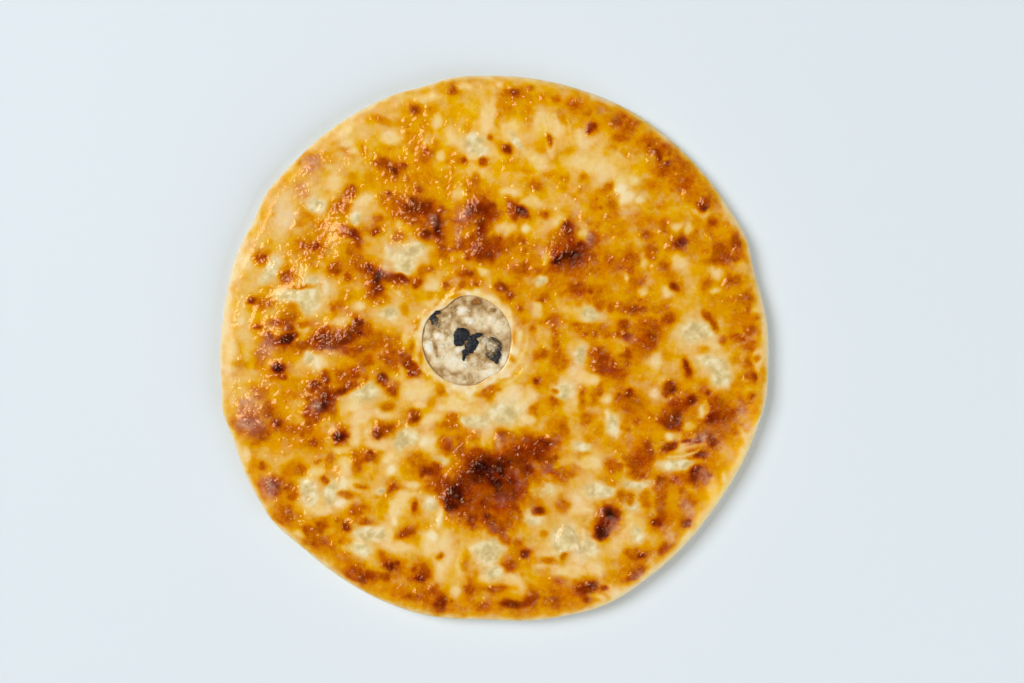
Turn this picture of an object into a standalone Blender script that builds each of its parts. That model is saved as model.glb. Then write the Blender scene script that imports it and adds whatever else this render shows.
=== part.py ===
"""A round flat pie of soft yeast dough round a chicken and mushroom filling, with a steam vent in its lid.

The pie lies flat on its base. The origin is on the base under the middle of the pie, +Z is up, and -Y is the
side nearest the eater. Lengths are in metres.
"""

import math
import random

import bmesh
import bpy
from mathutils import Matrix, Vector, noise

# The photograph looks straight down, so a place on the lid is read from it in pixels. The origin lies under the
# middle of the pie's box, and the rim is round about a point close to it.
PIE_DIAMETER = 0.330
PIE_ACROSS_PX = 548.0
PIXEL = PIE_DIAMETER / PIE_ACROSS_PX
ORIGIN_PX = (494.3, 348.2)
MIDDLE_PX = (494.0, 350.0)

# Driving dimensions of the dough.
RADIUS = PIE_DIAMETER / 2
RIM_HEIGHT = 0.0150
CROWN_HEIGHT = 0.0172
CROWN_RADIUS = 0.085
WAIST_HEIGHT = 0.0062
TOP_ROUND = 0.0120
BASE_ROUND = 0.0080
LID_WALL = 0.0028
BASE_WALL = 0.0030
SIDE_WALL = 0.0120
CAVITY_ROUND = 0.0120
CAVITY_ROUND_DOWN = 0.55
RIM_TURNS = (30, 50, 70, 90)
BASE_TURNS = (35, 65, 90)

# The steam vent, off the pie's middle, with a slightly raised lip of stretched dough.
VENT_PX = (467.5, 340.5)
VENT_RADIUS = 0.0268
VENT_EDGE = 0.0022
LIP_HEIGHT = 0.0007
LIP_WIDTH = 0.0060

# Meshes keep these gaps where two pieces touch. At the wall, the two meshes' flats fall in different places.
GAP = 0.0003
GAP_AT_VENT = 0.0005
GAP_AT_WALL = 0.0010

# The filling that shows in the vent.
FILLING_LEVEL = 0.0156
FILLING_TILT = 0.0004
FILLING_SHOULDER = 0.0018
FILLING_FLAT_SHARE = 0.8
FILLING_WAVE = 0.0003
FILLING_WAVE_SPACING = 0.009

# How finely the solids are cut.
STEPS = 76
FINE_FROM = 0.088
RING = 0.0062
FILLING_STEPS = 48
BALL_SIDES = 16
FILLING_RING = 0.0030
MERGE = 0.00001

# Bulges and dents of the rim as angle, half width in degrees, and height.
RIM_WAVES = (
    (16, 6, -0.0018),
    (24, 5, 0.0014),
    (60, 7, 0.0007),
    (98, 5, 0.0008),
    (105, 4, -0.0010),
    (145, 5, 0.0012),
    (152, 4, -0.0012),
    (172, 8, -0.0010),
    (193, 4, 0.0022),
    (208, 8, 0.0020),
    (218, 6, 0.0028),
    (268, 9, -0.0028),
    (294, 8, 0.0022),
    (325, 13, -0.0020),
    (350, 5, 0.0013),
)

# The same for the vent's edge.
VENT_WAVES = (
    (124, 17, -0.0032),
    (300, 11, -0.0017),
    (350, 14, -0.0008),
)

# Air blisters that rise out of the lid, as place and radius in pixels, and height.
BLISTERS = (
    (283, 336, 20, 0.0022),
    (278, 367, 10, 0.0016),
    (342, 336, 20, 0.0015),
    (326, 398, 16, 0.0020),
    (382, 278, 16, 0.0018),
    (350, 231, 14, 0.0013),
    (420, 209, 17, 0.0018),
    (483, 214, 17, 0.0018),
    (487, 250, 12, 0.0014),
    (520, 211, 11, 0.0013),
    (568, 250, 24, 0.0022),
    (680, 242, 11, 0.0013),
    (247, 424, 18, 0.0016),
    (340, 436, 10, 0.0014),
    (384, 431, 11, 0.0013),
    (616, 374, 16, 0.0013),
    (484, 470, 27, 0.0023),
    (457, 497, 15, 0.0018),
    (607, 521, 14, 0.0021),
    (671, 418, 16, 0.0016),
    (686, 432, 24, 0.0013),
    (702, 440, 14, 0.0018),
    (589, 590, 15, 0.0010),
)

# Pieces of filling that push the thin lid up, given in the same way.
FILLING_LUMPS = (
    (369, 393, 17, 0.0019),
    (366, 542, 20, 0.0016),
    (486, 555, 21, 0.0017),
    (411, 251, 21, 0.0016),
    (306, 291, 23, 0.0014),
    (273, 268, 12, 0.0017),
    (570, 545, 20, 0.0021),
    (627, 196, 15, 0.0015),
    (712, 366, 22, 0.0014),
    (474, 147, 16, 0.0011),
    (440, 535, 19, 0.0013),
    (313, 484, 15, 0.0013),
    (344, 482, 13, 0.0012),
    (601, 492, 16, 0.0010),
    (677, 462, 15, 0.0008),
)

# A lump's bell shape ends at this many times its radius.
LUMP_REACH = 3

# The lid sinks a little between those, unevenly.
SAG_SPACING = 0.024
SAG_DEPTH = 0.0011

# Chopped chicken and onion that stand out of the filling.
CHOP_COUNT = 46
CHOP_SEED = 11
CHOP_LONG = (0.0026, 0.0044)
CHOP_WIDE = (0.0019, 0.0030)
CHOP_TALL = (0.0012, 0.0018)
CHOP_LEAN = 0.3
CHOP_STANDS = 0.15
CHOP_DENT = 0.22
CHOP_DENTS_ACROSS = 1.3

# The dark mushroom slice: its rounded cap, and the stem that crosses below it, as pixels along its spine.
CAP_PX = (461.8, 337.0)
CAP_SIZE = (0.0101, 0.0122, 0.0044)
CAP_RISE = 0.0003
STEM_SPINE_PX = ((481.0, 334.0), (474.5, 337.5), (469.5, 346.0), (464.5, 356.5))
STEM_RADIUS = (0.0016, 0.0029, 0.0027, 0.0013)
STEM_SIDES = 3

# The gilled slice: an oval with a hollow face and a thick dark rim.
GILL_PX = (492.8, 350.5)
GILL_SIZE = (0.0098, 0.0158, 0.0042)
GILL_LEAN = 14.0
GILL_RISE = 0.0004
GILL_DISH = (0.0052, 0.0092, 0.0026)
GILL_DISH_AT = (-0.0006, 0.0004)

# A small slice that lies along the vent's edge.
SMALL_PX = (435.5, 319.5)
SMALL_SIZE = (0.0040, 0.0098, 0.0036)
SMALL_LEAN = -27.0
SMALL_RISE = 0.0002

# Each piece's linear base colour and its roughness.
FINISHES = {
    "crust": ((0.61, 0.27, 0.035), 0.38),
    "filling": ((0.65, 0.51, 0.32), 0.45),
    "mushroom_slice_dark": ((0.014, 0.014, 0.020), 0.30),
    "mushroom_slice_gilled": ((0.085, 0.068, 0.050), 0.40),
    "mushroom_slice_small": ((0.060, 0.045, 0.028), 0.40),
}


def place(px, py):
    """The point of the pie's own frame, seen from above, at a pixel of the photograph."""
    return Vector(((px - ORIGIN_PX[0]) * PIXEL, (ORIGIN_PX[1] - py) * PIXEL, 0.0))


VENT = place(*VENT_PX)
MIDDLE = place(*MIDDLE_PX)


def smooth(x):
    """0 to 1 without a corner at either end."""
    x = min(max(x, 0.0), 1.0)
    return x * x * (3 - 2 * x)


def wave(angle, waves):
    """The sum of the bulges and dents in a table at an angle in radians."""
    total = 0.0
    for middle, width, height in waves:
        away = math.degrees(math.remainder(angle - math.radians(middle), math.tau))
        total += height * math.exp(-((away / width) ** 2))
    return total


def spread(point):
    """Moves a turned point to its place in the pie: rings about the vent drift to rings about the middle."""
    radius = math.hypot(point.x, point.y)
    if radius < MERGE:
        return Vector((VENT.x, VENT.y, point.z))
    angle = math.atan2(point.y, point.x)
    share = smooth((radius - VENT_RADIUS) / (RADIUS - VENT_RADIUS))
    at_vent = 1 + wave(angle, VENT_WAVES) / VENT_RADIUS
    at_rim = 1 + wave(angle, RIM_WAVES) / RADIUS
    scale = at_vent + (at_rim - at_vent) * share
    across = Vector((math.cos(angle), math.sin(angle), 0.0)) * radius * scale
    return VENT.lerp(MIDDLE, share) + across + Vector((0, 0, point.z))


def lump_relief(point):
    """How far the blisters and lumps lift the lid at a point."""
    lift = 0.0
    for px, py, radius, height in BLISTERS + FILLING_LUMPS:
        away = (point - place(px, py)).xy.length / (radius * PIXEL)
        if away < LUMP_REACH:
            lift = max(lift, height * math.exp(-away * away))
    return lift


def sag_relief(point):
    """How far the lid rises or sinks between the lumps."""
    return SAG_DEPTH * noise.noise(Vector((point.x, point.y, 0.0)) / SAG_SPACING)


def lid_height(radius):
    """The even height of the lid at a distance from the turning axis, out to where the edge rounds down."""
    rise = 1 - smooth((radius - CROWN_RADIUS) / (RADIUS - TOP_ROUND - CROWN_RADIUS))
    lip = LIP_HEIGHT * (1 - smooth(abs(radius - VENT_RADIUS - LIP_WIDTH / 3) / LIP_WIDTH))
    return RIM_HEIGHT + (CROWN_HEIGHT - RIM_HEIGHT) * rise + lip


def ceiling_height(radius):
    """The underside of the lid, which rounds down to the side wall."""
    into = (radius - (RADIUS - SIDE_WALL - CAVITY_ROUND)) / CAVITY_ROUND
    drop = 1 - math.sqrt(1 - min(max(into, 0.0), 1.0) ** 2)
    return lid_height(radius) - LID_WALL - CAVITY_ROUND_DOWN * (RIM_HEIGHT - LID_WALL - BASE_WALL) * drop


def rings(first, last, step):
    """Radii from first to last, evenly spaced about a step apart."""
    count = max(1, round(abs(last - first) / step))
    return [first + (last - first) * i / count for i in range(count + 1)]


def crust_profile():
    """The dough's section: inner floor, side, ceiling, vent edge, lid, rim and base."""
    inner = RADIUS - SIDE_WALL
    points = [(0.0, BASE_WALL), (inner - BASE_ROUND / 2, BASE_WALL), (inner, BASE_WALL + BASE_ROUND / 4)]
    points += [(r, ceiling_height(r)) for r in rings(inner, inner - CAVITY_ROUND, CAVITY_ROUND / 3)]
    points += [(r, ceiling_height(r)) for r in rings(inner - CAVITY_ROUND, VENT_RADIUS, 4 * RING)[1:-1]]
    vent_top = lid_height(VENT_RADIUS)
    points += [(VENT_RADIUS, vent_top - VENT_EDGE), (VENT_RADIUS, vent_top - VENT_EDGE / 4)]
    shoulder = RADIUS - TOP_ROUND
    points += [(r, lid_height(r)) for r in rings(VENT_RADIUS + VENT_EDGE / 4, shoulder, RING)]
    for turn in RIM_TURNS:
        across = shoulder + TOP_ROUND * math.sin(math.radians(turn))
        points.append((across, WAIST_HEIGHT + (RIM_HEIGHT - WAIST_HEIGHT) * math.cos(math.radians(turn))))
    for turn in BASE_TURNS:
        across = RADIUS - BASE_ROUND * (1 - math.cos(math.radians(turn)))
        points.append((across, WAIST_HEIGHT * (1 - math.sin(math.radians(turn)))))
    return points + [(0.0, 0.0)]


def core_height(point, grow=0.0):
    """The filling's surface in the vent at a point of the pie, without the chopped pieces."""
    from_middle = (point - VENT).xy.length / VENT_RADIUS
    slope = FILLING_TILT * (point.x - VENT.x) / VENT_RADIUS
    unevenness = FILLING_WAVE * noise.noise(Vector((point.x, point.y, 0.0)) / FILLING_WAVE_SPACING)
    down = FILLING_SHOULDER * smooth((from_middle - FILLING_FLAT_SHARE) / (1 - FILLING_FLAT_SHARE))
    return FILLING_LEVEL + slope + unevenness - down + grow


def filling_profile():
    """The filling's section: it fills the dough to its walls and stands up in the vent."""
    inner = RADIUS - SIDE_WALL - GAP_AT_WALL
    shoulder = inner - CAVITY_ROUND
    under_lid = VENT_RADIUS + FILLING_RING / 2
    points = [(0.0, FILLING_LEVEL)]
    points += [(r, FILLING_LEVEL) for r in rings(0.0, VENT_RADIUS - 2 * GAP_AT_VENT, FILLING_RING)[1:]]
    points += [(under_lid, ceiling_height(VENT_RADIUS) - 2 * GAP)]
    points += [(r, ceiling_height(r) - 2 * GAP) for r in rings(under_lid, shoulder, 5 * RING)[1:]]
    for radius in rings(shoulder, inner, CAVITY_ROUND / 3)[1:]:
        points.append((radius, ceiling_height(radius + GAP_AT_WALL) - 2 * GAP))
    low = BASE_WALL + GAP
    return points + [(inner, low + BASE_ROUND / 4), (inner - BASE_ROUND / 2, low), (0.0, low)]


def link(name, mesh, collection):
    """Puts a mesh in the scene as a named object."""
    made = bpy.data.objects.new(name, mesh)
    collection.objects.link(made)
    return made


def evaluated_mesh(obj):
    """The object's mesh with its modifiers applied."""
    graph = bpy.context.evaluated_depsgraph_get()
    return bpy.data.meshes.new_from_object(obj.evaluated_get(graph))


def turned(name, profile, steps, collection):
    """A closed solid turned from a profile about Z with a Screw modifier, as a bmesh."""
    outline = bpy.data.meshes.new(name)
    edges = [(i, i + 1) for i in range(len(profile) - 1)]
    outline.from_pydata([(r, 0.0, z) for r, z in profile], edges, [])
    lathe = link(name + "_profile", outline, collection)
    screw = lathe.modifiers.new("Turn", "SCREW")
    screw.steps = screw.render_steps = steps
    screw.use_merge_vertices = True
    screw.merge_threshold = MERGE
    made = bmesh.new()
    made.from_mesh(evaluated_mesh(lathe))
    bpy.data.objects.remove(lathe)
    bmesh.ops.remove_doubles(made, verts=made.verts, dist=MERGE)
    return made


def on_lid(point):
    """Whether a turned point is on the outside of the dough, above its waist."""
    radius = point.xy.length
    on_top = radius > VENT_RADIUS and point.z > lid_height(radius) - VENT_EDGE / 2
    return on_top or (radius > RADIUS - TOP_ROUND + MERGE and point.z > WAIST_HEIGHT - MERGE)


def split_outer_rings(body):
    """Halves the outer ring edges on the lid, so that its cells aren't much wider than they are long."""
    outer = []
    for edge in body.edges:
        a, b = (v.co for v in edge.verts)
        if abs(a.xy.length - b.xy.length) < MERGE and a.xy.length > FINE_FROM and on_lid(a) and on_lid(b):
            outer.append(edge)
    bmesh.ops.subdivide_edges(body, edges=outer, cuts=1)


def finish(body, name, collection):
    """Closes a bmesh into a named object whose faces point out."""
    bmesh.ops.recalc_face_normals(body, faces=body.faces)
    mesh = bpy.data.meshes.new(name)
    body.to_mesh(mesh)
    body.free()
    mesh.shade_smooth()
    return link(name, mesh, collection)


def make_crust(collection):
    """The dough: one closed shell round the filling, open at the vent, with its blisters and lumps."""
    body = turned("crust", crust_profile(), STEPS, collection)
    split_outer_rings(body)
    for vertex in body.verts:
        radius = vertex.co.xy.length
        lifts = on_lid(vertex.co)
        from_edge = smooth((RADIUS - radius) / TOP_ROUND)
        from_vent = smooth((radius - VENT_RADIUS) / LIP_WIDTH)
        vertex.co = spread(vertex.co)
        if lifts:
            lift = lump_relief(vertex.co) + sag_relief(vertex.co)
            vertex.co.z += lift * from_edge * from_vent
    return finish(body, "crust", collection)


def make_core(name, collection, grow=0.0):
    """The filling without its chopped pieces. With grow, only what stands in the vent rises by that much."""
    body = turned(name, filling_profile(), FILLING_STEPS, collection)
    for vertex in body.verts:
        shows = vertex.co.z > ceiling_height(VENT_RADIUS) and vertex.co.xy.length < VENT_RADIUS
        vertex.co = spread(vertex.co)
        if shows:
            vertex.co.z = core_height(vertex.co, grow)
    return finish(body, name, collection)


def vent_reach(point):
    """How far the vent's edge is from its middle, in the direction of a point."""
    away = point - VENT
    return VENT_RADIUS + wave(math.atan2(away.y, away.x), VENT_WAVES)


def clear_of_mushrooms(point, reach):
    """Whether a chopped piece of that reach stays off the mushroom slices."""
    spine = [CAP_PX, *STEM_SPINE_PX]
    wide = [CAP_SIZE[1] / 2, *STEM_RADIUS]
    if any((point - place(*px)).xy.length < reach + r + GAP for px, r in zip(spine, wide)):
        return False
    ovals = ((GILL_PX, GILL_SIZE, GILL_LEAN), (SMALL_PX, SMALL_SIZE, SMALL_LEAN))
    for px, size, lean in ovals:
        away = Matrix.Rotation(math.radians(-lean), 3, "Z") @ (point - place(*px))
        if math.hypot(away.x / (size[0] / 2 + reach), away.y / (size[1] / 2 + reach)) < 1:
            return False
    return True


def chopped_piece(dice, number, collection):
    """One piece of chopped chicken or onion, or None where there's no room for it."""
    angle = dice.uniform(0, math.tau)
    size = Vector((dice.uniform(*CHOP_LONG), dice.uniform(*CHOP_WIDE), dice.uniform(*CHOP_TALL)))
    turn = Matrix.Rotation(dice.uniform(0, math.tau), 4, "Z")
    lean = Matrix.Rotation(dice.uniform(-CHOP_LEAN, CHOP_LEAN), 4, "Y")
    heading = Vector((math.cos(angle), math.sin(angle), 0))
    room = vent_reach(VENT + heading) - size.x - 3 * GAP_AT_VENT
    at = VENT + heading * room * math.sqrt(dice.uniform(0, 1))
    if not clear_of_mushrooms(at, size.x):
        return None
    body = bmesh.new()
    bmesh.ops.create_icosphere(body, subdivisions=2, radius=1.0)
    for vertex in body.verts:
        vertex.co *= 1 + CHOP_DENT * noise.noise(vertex.co * CHOP_DENTS_ACROSS + Vector((number, 0, 0)))
    middle = Matrix.Translation((at.x, at.y, core_height(at) + CHOP_STANDS * size.z))
    bmesh.ops.transform(body, matrix=middle @ turn @ lean @ Matrix.Diagonal((*size, 1)), verts=body.verts)
    return finish(body, f"chop_{number}", collection)


def join(obj, pieces, operation, solver):
    """Applies one Boolean of a collection to the object, and removes that collection."""
    boolean = obj.modifiers.new(operation, "BOOLEAN")
    boolean.operation = operation
    boolean.operand_type = "COLLECTION"
    boolean.collection = pieces
    boolean.solver = solver
    mesh = evaluated_mesh(obj)
    obj.modifiers.clear()
    obj.data = mesh
    for piece in list(pieces.objects):
        bpy.data.objects.remove(piece)
    bpy.data.collections.remove(pieces)


def new_collection(name):
    """A collection linked to the scene."""
    made = bpy.data.collections.new(name)
    bpy.context.scene.collection.children.link(made)
    return made


def make_filling(collection):
    """The chicken filling, out to the dough's walls, with chopped pieces fused on where it shows."""
    filling = make_core("filling", collection)
    chops = new_collection("chops")
    dice = random.Random(CHOP_SEED)
    for number in range(CHOP_COUNT):
        chopped_piece(dice, number, chops)
    join(filling, chops, "UNION", "MANIFOLD")
    return filling


def seat(obj):
    """Cuts a mushroom slice away where the filling's surface and the gap above it are."""
    bed = new_collection("bed")
    make_core("bed_core", bed, GAP)
    join(obj, bed, "DIFFERENCE", "EXACT")


def ball(name, size, collection):
    """A sphere stretched to a size, as an object."""
    body = bmesh.new()
    bmesh.ops.create_uvsphere(body, u_segments=BALL_SIDES, v_segments=BALL_SIDES // 2, radius=0.5)
    bmesh.ops.scale(body, vec=size, verts=body.verts)
    return finish(body, name, collection)


def rest_on_filling(px, above=0.0):
    """The place on the filling's surface under a pixel."""
    at = place(*px)
    return Vector((at.x, at.y, core_height(at) + above))


def make_dark_slice(collection):
    """The dark mushroom slice: a rounded cap and the stem that crosses below it, as one piece."""
    body = ball("mushroom_slice_dark", CAP_SIZE, collection)
    body.data.transform(Matrix.Translation(rest_on_filling(CAP_PX, CAP_RISE)))
    spine = bpy.data.curves.new("stem", "CURVE")
    spine.dimensions = "3D"
    spine.bevel_depth = 1.0
    spine.bevel_resolution = STEM_SIDES
    spine.use_fill_caps = True
    line = spine.splines.new("POLY")
    line.points.add(len(STEM_SPINE_PX) - 1)
    for point, px, radius in zip(line.points, STEM_SPINE_PX, STEM_RADIUS):
        point.co = (*rest_on_filling(px), 1.0)
        point.radius = radius
    stem = link("stem", spine, collection)
    closed = bmesh.new()
    closed.from_mesh(evaluated_mesh(stem))
    bmesh.ops.remove_doubles(closed, verts=closed.verts, dist=MERGE)
    bpy.data.objects.remove(stem)
    stems = new_collection("stems")
    finish(closed, "stem_solid", stems)
    join(body, stems, "UNION", "EXACT")
    seat(body)
    return body


def make_gilled_slice(collection):
    """The gilled mushroom slice: an oval with a dished face."""
    body = ball("mushroom_slice_gilled", GILL_SIZE, collection)
    turn = Matrix.Rotation(math.radians(GILL_LEAN), 4, "Z")
    at = Matrix.Translation(rest_on_filling(GILL_PX, GILL_RISE))
    body.data.transform(at @ turn)
    dish = new_collection("dish")
    hollow = ball("dish_ball", GILL_DISH, dish)
    hollow.data.transform(at @ turn @ Matrix.Translation((*GILL_DISH_AT, GILL_SIZE[2] / 2)))
    join(body, dish, "DIFFERENCE", "EXACT")
    seat(body)
    return body


def make_small_slice(collection):
    """The small mushroom slice that lies along the vent's edge."""
    body = ball("mushroom_slice_small", SMALL_SIZE, collection)
    turn = Matrix.Rotation(math.radians(SMALL_LEAN), 4, "Z")
    body.data.transform(Matrix.Translation(rest_on_filling(SMALL_PX, SMALL_RISE)) @ turn)
    seat(body)
    return body


def dress(obj):
    """Gives a piece its material."""
    colour, roughness = FINISHES[obj.name]
    material = bpy.data.materials.new(obj.name)
    material.use_nodes = True
    surface = material.node_tree.nodes["Principled BSDF"]
    surface.inputs["Base Color"].default_value = (*colour, 1.0)
    surface.inputs["Roughness"].default_value = roughness
    surface.inputs["Metallic"].default_value = 0.0
    obj.data.materials.clear()
    obj.data.materials.append(material)


def main():
    for obj in list(bpy.data.objects):
        bpy.data.objects.remove(obj)
    pie = new_collection("chicken_and_mushroom_pie")
    for make in (make_crust, make_filling, make_dark_slice, make_gilled_slice, make_small_slice):
        dress(make(pie))


main()
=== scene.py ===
"""The looks of a large flat chicken and mushroom pie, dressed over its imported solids.

A thin soft dough is stretched over a lumpy filling, baked until its blisters turn brown, and brushed with
butter. A round steam vent in the lid shows the pale filling and dark mushroom slices. Lengths are in metres.
"""

import logging
import math
import random
from dataclasses import dataclass, field
from enum import Enum

import bmesh
import bpy
import numpy as np
from bmesh.types import BMEdge, BMesh
from bpy.types import Material, Mesh, Node, NodeSocket, NodeTree, Object
from mathutils import Matrix, Vector, noise


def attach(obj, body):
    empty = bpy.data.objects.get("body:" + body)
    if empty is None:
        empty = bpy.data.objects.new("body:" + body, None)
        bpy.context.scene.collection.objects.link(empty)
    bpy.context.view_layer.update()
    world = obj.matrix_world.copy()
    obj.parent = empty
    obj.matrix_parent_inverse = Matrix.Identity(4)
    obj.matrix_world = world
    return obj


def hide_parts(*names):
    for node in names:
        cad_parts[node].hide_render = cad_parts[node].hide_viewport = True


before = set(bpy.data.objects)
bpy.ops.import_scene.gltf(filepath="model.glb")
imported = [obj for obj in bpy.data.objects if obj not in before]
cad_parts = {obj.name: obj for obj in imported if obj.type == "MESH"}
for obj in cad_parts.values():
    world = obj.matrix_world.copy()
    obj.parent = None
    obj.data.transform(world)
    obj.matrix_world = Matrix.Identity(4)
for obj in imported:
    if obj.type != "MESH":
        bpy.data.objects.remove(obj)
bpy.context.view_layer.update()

MM = 0.001
MERGE = 0.00001
BODY = "root"
LOG = logging.getLogger("pie")
Ovals = tuple[tuple[float, ...], ...]
Waves = tuple[tuple[float, float, float], ...]


def hex_to_linear(code: str) -> tuple[float, float, float, float]:
    """Turns an sRGB hex colour into the linear one that a shader takes.

    Args:
        code: six hex digits, such as "D78C19".

    Returns:
        Red, green, blue and an alpha of 1.
    """
    values = [int(code[i : i + 2], 16) / 255 for i in (0, 2, 4)]
    linear = [v / 12.92 if v <= 0.04045 else ((v + 0.055) / 1.055) ** 2.4 for v in values]
    return (*linear, 1.0)


def smooth(values: np.ndarray | float) -> np.ndarray:
    """Cuts numbers to 0 and 1, and eases them so that neither end has a corner."""
    cut = np.clip(values, 0.0, 1.0)
    return cut * cut * (3 - 2 * cut)


def noise_at(points: np.ndarray, spacing: float, seed: float, octaves: int = 1) -> np.ndarray:
    """Samples soft noise of about -0.7 to 0.7 at rows of x, y, z; each seed has a pattern of its own."""
    scaled = points / spacing + seed * 17.31
    return np.array([noise.fractal(Vector(p), 1.0, 2.0, octaves) for p in scaled.tolist()])


def bell(points: np.ndarray, middle: np.ndarray, half: tuple[float, float], lean: float,
         power: float) -> np.ndarray:
    """Gives the weight of an oval patch at each point, 1 at its middle and 0 well outside it.

    Args:
        points: rows of x, y, z.
        middle: the patch's middle.
        half: half the patch's width and half its height, in metres.
        lean: how far the patch is turned, in degrees.
        power: 2 for a soft bell, and more for a flat patch with a steep edge.

    Returns:
        One weight for each point.
    """
    turn = math.radians(lean)
    across = points[:, 0] - middle[0]
    up = points[:, 1] - middle[1]
    u = (across * math.cos(turn) + up * math.sin(turn)) / half[0]
    v = (up * math.cos(turn) - across * math.sin(turn)) / half[1]
    return np.exp(-np.power(np.hypot(u, v), power))


def rings(first: float, last: float, step: float) -> list[float]:
    """Lists radii from first to last, both included, evenly spaced about a step apart."""
    count = max(1, round(abs(last - first) / step))
    return [first + (last - first) * i / count for i in range(count + 1)]


def add_node(tree: NodeTree, kind: str, inputs: dict | None = None, **settings) -> Node:
    """Adds a node with its settings, values and links.

    Args:
        tree: the node tree that it joins.
        kind: the node's type name, without the ShaderNode in front.
        inputs: for a socket's name or number, the value that it holds, or the output that feeds it, or a
            node whose first output does.
        **settings: the node's own properties.

    Returns:
        The new node.
    """
    node = tree.nodes.new("ShaderNode" + kind)
    for name, value in settings.items():
        setattr(node, name, value)
    for name, value in (inputs or {}).items():
        if isinstance(value, (Node, NodeSocket)):
            tree.links.new(value.outputs[0] if isinstance(value, Node) else value, node.inputs[name])
        else:
            node.inputs[name].default_value = value
    return node


def set_ramp(node: Node, stops: dict[float, str]) -> None:
    """Fills a colour ramp.

    Args:
        node: the ramp's node.
        stops: a hex colour for each position from 0 to 1.
    """
    ramp = node.color_ramp
    while len(ramp.elements) > 1:
        ramp.elements.remove(ramp.elements[-1])
    for number, (position, code) in enumerate(sorted(stops.items())):
        element = ramp.elements[0] if number == 0 else ramp.elements.new(position)
        element.position = position
        element.color = hex_to_linear(code)


def new_material(name: str) -> tuple[Material, NodeTree]:
    """Makes a material with an empty tree.

    Args:
        name: the material's name.

    Returns:
        The material and its node tree.
    """
    material = bpy.data.materials.new(name)
    material.use_nodes = True
    material.node_tree.nodes.clear()
    return material, material.node_tree


def finish_tree(tree: NodeTree, inputs: dict) -> None:
    """Ends a material's tree with its surface shader, which takes the inputs, and the output."""
    surface = add_node(tree, "BsdfPrincipled", inputs)
    add_node(tree, "OutputMaterial", {"Surface": surface.outputs["BSDF"]})


def spun(section: list[tuple[float, float]], steps: int) -> BMesh:
    """Spins a section about the z axis.

    Args:
        section: radius and height of each of its points, from the axis back to the axis.
        steps: how many steps go round.

    Returns:
        The closed shape.
    """
    body = bmesh.new()
    verts = [body.verts.new((r, 0.0, z)) for r, z in section]
    edges = [body.edges.new(pair) for pair in zip(verts, verts[1:])]
    bmesh.ops.spin(body, geom=verts + edges, cent=(0, 0, 0), axis=(0, 0, 1), angle=math.tau, steps=steps,
                   use_merge=True)
    bmesh.ops.remove_doubles(body, verts=body.verts, dist=MERGE)
    return body


def finished_piece(body: BMesh, name: str, replaced: str) -> Object:
    """Turns a bmesh into a piece of the pie that rides on its body.

    Args:
        body: the closed mesh, which is freed.
        name: the piece's name.
        replaced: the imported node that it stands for.

    Returns:
        The piece, shaded smooth, at the origin.
    """
    bmesh.ops.recalc_face_normals(body, faces=body.faces)
    mesh = bpy.data.meshes.new(name)
    body.to_mesh(mesh)
    body.free()
    mesh.shade_smooth()
    piece = bpy.data.objects.new(name, mesh)
    bpy.context.scene.collection.objects.link(piece)
    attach(piece, BODY)
    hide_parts(replaced)
    return piece


def points_of(mesh: Mesh) -> np.ndarray:
    """Reads a mesh's vertices.

    Args:
        mesh: the mesh.

    Returns:
        One row of x, y, z for each vertex.
    """
    flat = np.empty(len(mesh.vertices) * 3)
    mesh.vertices.foreach_get("co", flat)
    return flat.reshape(-1, 3)


def move_points(mesh: Mesh, points: np.ndarray) -> None:
    """Moves a mesh's vertices to one row of x, y, z each."""
    mesh.vertices.foreach_set("co", points.ravel())
    mesh.update()


def paint(mesh: Mesh, name: str, values: np.ndarray) -> None:
    """Stores one number for each vertex under a name, for a material to read."""
    layer = mesh.attributes.new(name, "FLOAT", "POINT")
    layer.data.foreach_set("value", values.astype(np.float32))


@dataclass(frozen=True)
class Photo:
    """The photograph's view: straight down, so places on the pie are read from it in pixels."""

    width: float = 1024.0
    height: float = 683.0
    pie_across: float = 548.0
    pie_diameter: float = 0.330
    origin: tuple[float, float] = (494.3, 348.2)
    camera_rise: float = 0.856
    widest_height: float = 0.007
    lid_height: float = 0.0165
    sensor: float = 36.0

    @property
    def pixel(self) -> float:
        """The size of a pixel at the height where the pie is widest."""
        return self.pie_diameter / self.pie_across

    @property
    def camera(self) -> Vector:
        """Finds where the camera is, above the middle of the frame.

        Returns:
            The camera's place.
        """
        x = (self.width / 2 - self.origin[0]) * self.pixel
        y = (self.origin[1] - self.height / 2) * self.pixel
        return Vector((x, y, self.widest_height + self.camera_rise))

    @property
    def lens(self) -> float:
        """The focal length in millimetres that gives the pixel its size."""
        return self.sensor * self.camera_rise / (self.width * self.pixel)

    def on_lid(self, px: float, py: float, height: float | None = None) -> np.ndarray:
        """Finds the point that shows at a pixel.

        Args:
            px: the pixel's column.
            py: the pixel's row.
            height: the point's height, or None for the lid's.

        Returns:
            Its x, y and z.
        """
        z = self.lid_height if height is None else height
        nearness = (self.camera.z - z) / self.camera_rise
        x = self.camera.x + (px - self.width / 2) * self.pixel * nearness
        y = self.camera.y - (py - self.height / 2) * self.pixel * nearness
        return np.array((x, y, z))

    def length_on_lid(self, pixels: float) -> float:
        """Turns a length in pixels on the lid into metres."""
        return pixels * self.pixel * (self.camera.z - self.lid_height) / self.camera_rise


PHOTO = Photo()


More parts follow.
